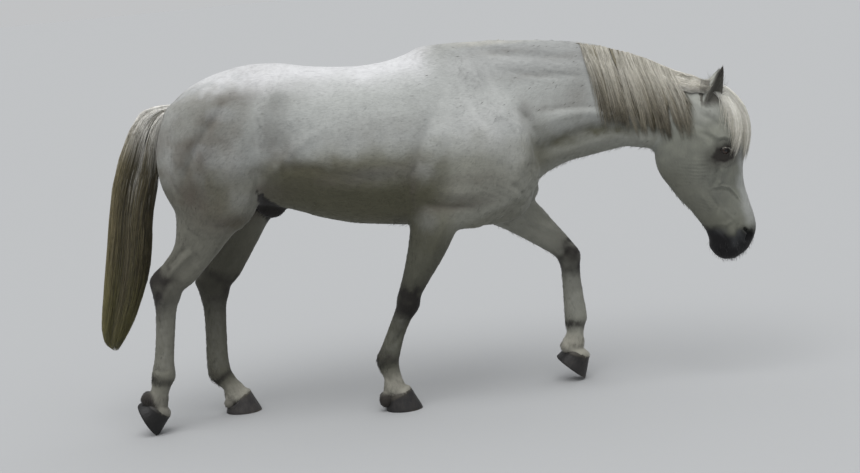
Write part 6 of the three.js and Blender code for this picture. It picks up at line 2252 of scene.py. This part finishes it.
@dataclass(frozen=True)
class Studio:
    """The pale floor, the soft light and the camera."""

    pitch: float = math.radians(8.9346)
    roll: float = math.radians(5.5)
    stand: tuple[float, float, float] = (22.6, -6500.0, 1700.0)
    lens: float = 68.02
    horizon: float = 0.22
    zenith: float = 1.25
    backdrop: float = 0.55
    sun: float = 1.6

    def camera(self) -> None:
        """The camera, a little higher than the animal's back and turned a little about its own axis."""
        ahead = np.array([0, math.cos(self.pitch), -math.sin(self.pitch)])
        level = np.array([1.0, 0, 0])
        over = np.cross(level, ahead)
        right = level * math.cos(self.roll) - over * math.sin(self.roll)
        up = level * math.sin(self.roll) + over * math.cos(self.roll)
        data = bpy.data.cameras.new("camera")
        data.lens, data.sensor_width = self.lens, 36.0
        camera = linked("camera", data)
        columns = (right, up, -ahead, PLACE.metres(np.array(self.stand)))
        camera.matrix_world = Matrix([*np.stack(columns, axis=1).tolist(), [0, 0, 0, 1]])
        bpy.context.scene.camera = camera

    def floor(self) -> None:
        """A plain pale floor."""
        bpy.ops.mesh.primitive_plane_add(size=900.0)
        floor = bpy.context.object
        floor.name = "floor"
        recipe = Recipe("floor", Roughness=1.0, Specular_IOR_Level=0.0)
        place = recipe.node("TexCoord", {}).outputs["Object"]
        tone = recipe.node("RGB", {}).outputs["Color"]
        tone.default_value = (0.4, 0.405, 0.41, 1)
        floor.data.materials.append(recipe.done(recipe.shade(tone, recipe.noise(place, 300.0, 0.99, 1.01))))

    def lights(self) -> None:
        """A sky that is brightest overhead, and a wide, soft sun."""
        world = bpy.data.worlds.new("world")
        bpy.context.scene.world = world
        world.use_nodes = True
        nodes = Nodes(world.node_tree)
        background = nodes.tree.nodes["Background"]
        background.inputs["Color"].default_value = (0.97, 0.985, 1.0, 1)
        height = nodes.node("SeparateXYZ", {0: nodes.node("TexCoord", {}).outputs["Generated"]}).outputs["Z"]
        grades = {"Value": height, "From Min": 0.03, "To Min": self.horizon, "To Max": self.zenith}
        ray = nodes.node("LightPath", {}).outputs["Is Camera Ray"]
        sky = {"Factor": ray, "A": nodes.node("MapRange", grades).outputs["Result"], "B": self.backdrop}
        nodes.tree.links.new(nodes.node("Mix", sky).outputs["Result"], background.inputs["Strength"])
        data = bpy.data.lights.new("sun", "SUN")
        data.energy, data.angle = self.sun, math.radians(50)
        lamp = linked("sun", data)
        lamp.rotation_mode = "QUATERNION"
        lamp.rotation_quaternion = Vector((0.12, 0.42, -0.9)).to_track_quat("-Z", "Y")

    def build(self) -> None:
        """All three."""
        self.camera()
        self.floor()
        self.lights()
        bpy.context.scene.view_settings.view_transform = "Standard"


# ---- the whole


@dataclass
class Pony:
    """The whole animal."""

    materials: dict[Finish, bpy.types.Material] = field(default_factory=dict)

    def dress(self, piece: Piece, finish: Finish) -> Piece:
        """Gives a finished piece its material and its slot, and ties it to the part."""
        if finish not in self.materials:
            self.materials[finish] = finish.material()
        piece.data.materials.clear()
        piece.data.materials.append(self.materials[finish])
        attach(piece, "root")
        log.info("%s: %d triangles", piece.name, len(triangles(piece)))
        return piece

    def skin(self) -> Ground:
        """The skin, with its markings and its painted light and shade."""
        skin = Skin().build()
        points = read(skin)
        colour(skin, "tone", coat_tone(points, normals(skin)))
        comb(skin)
        self.dress(skin, SKIN_FINISH)
        flesh = [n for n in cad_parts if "hoof" not in n and "eye" not in n and n != "tail"]
        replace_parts(skin, *flesh)
        return Ground(skin)

    def long_hair(self, skin: Piece) -> None:
        """The mane, the forelock and the tail."""
        near = Relief(skin, RIGHT, (480, 900), (1240, 1500))
        far = Relief(skin, LEFT, (300, 1100), (760, 1500))
        head = Loft(HEAD, swellings=HEAD_SWELLINGS, middle_y=HEAD_Y, grow=-2.0)
        hair = {}
        for word, mane, relief in (("near", NEAR_MANE, near), ("far", FAR_MANE, far)):
            hair[f"mane_{word}_under"] = mane.strands(relief, False)
            hair[f"mane_{word}_outer"] = mane.strands(relief, True)
        hair |= {"crest_sweep": crest_sweep(near), "forelock": forelock(head)}
        for name, strands in hair.items():
            self.dress(strands.build(name), MANE_FINISH)
        self.dress(tail_hair(False).build("tail_under"), TAIL_FINISH)
        outer = self.dress(tail_hair(True).build("tail_outer"), TAIL_FINISH)
        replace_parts(outer, "tail")

    def short_coat(self, ground: Ground) -> None:
        """The tufts of the coat, and the longer hair here and there."""
        for piece in Coat(ground).build():
            self.dress(piece, TUFT_FINISH)
        for n, fringe in enumerate(FRINGES):
            self.dress(fringe.build(ground, 80 + n), FRINGE_FINISH)

    def eyes(self) -> None:
        """Both eyes and their lashes."""
        for side in SIDES:
            eye = Eye(side)
            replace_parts(self.dress(eye.ball(), EYE_FINISH), f"eye_{SIDE_WORDS[side]}")
            self.dress(eye.lashes(), FRINGE_FINISH)

    def hooves(self) -> None:
        """The four hooves."""
        for n, leg in enumerate(LEGS):
            hoof = self.dress(Hoof(leg, 70 + 10 * n).build(), HORN_FINISH)
            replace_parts(hoof, leg.name + "_hoof")


def comb(skin: Piece) -> None:
    """Lays the skin out along the lie of the coat, for its fine bumps."""
    lay, corners = lay_of(read(skin)), corners_of(skin)
    around = lay.around[corners].reshape(-1, 3)
    around = around + 2 * math.pi * np.round((around[:, :1] - around) / (2 * math.pi))
    radius = np.where(lay.joint >= 1, 40.0, 130.0)[corners].reshape(-1, 3)[:, :1]
    chart(skin, "lie", np.stack([lay.along[corners], (around * radius).ravel()], axis=1) * 0.01)
    chart(skin, "OFBake", on_sheet(lay)[corners])


def main() -> None:
    """Builds the figure, piece by piece."""
    logging.basicConfig(level=logging.INFO, format="%(relativeCreated)6d ms %(message)s", force=True)
    bpy.ops.object.select_all(action="DESELECT")
    Studio().build()
    pony = Pony()
    ground = pony.skin()
    pony.hooves()
    pony.eyes()
    pony.long_hair(ground.skin)
    pony.short_coat(ground)


if __name__ == "__main__":
    main()
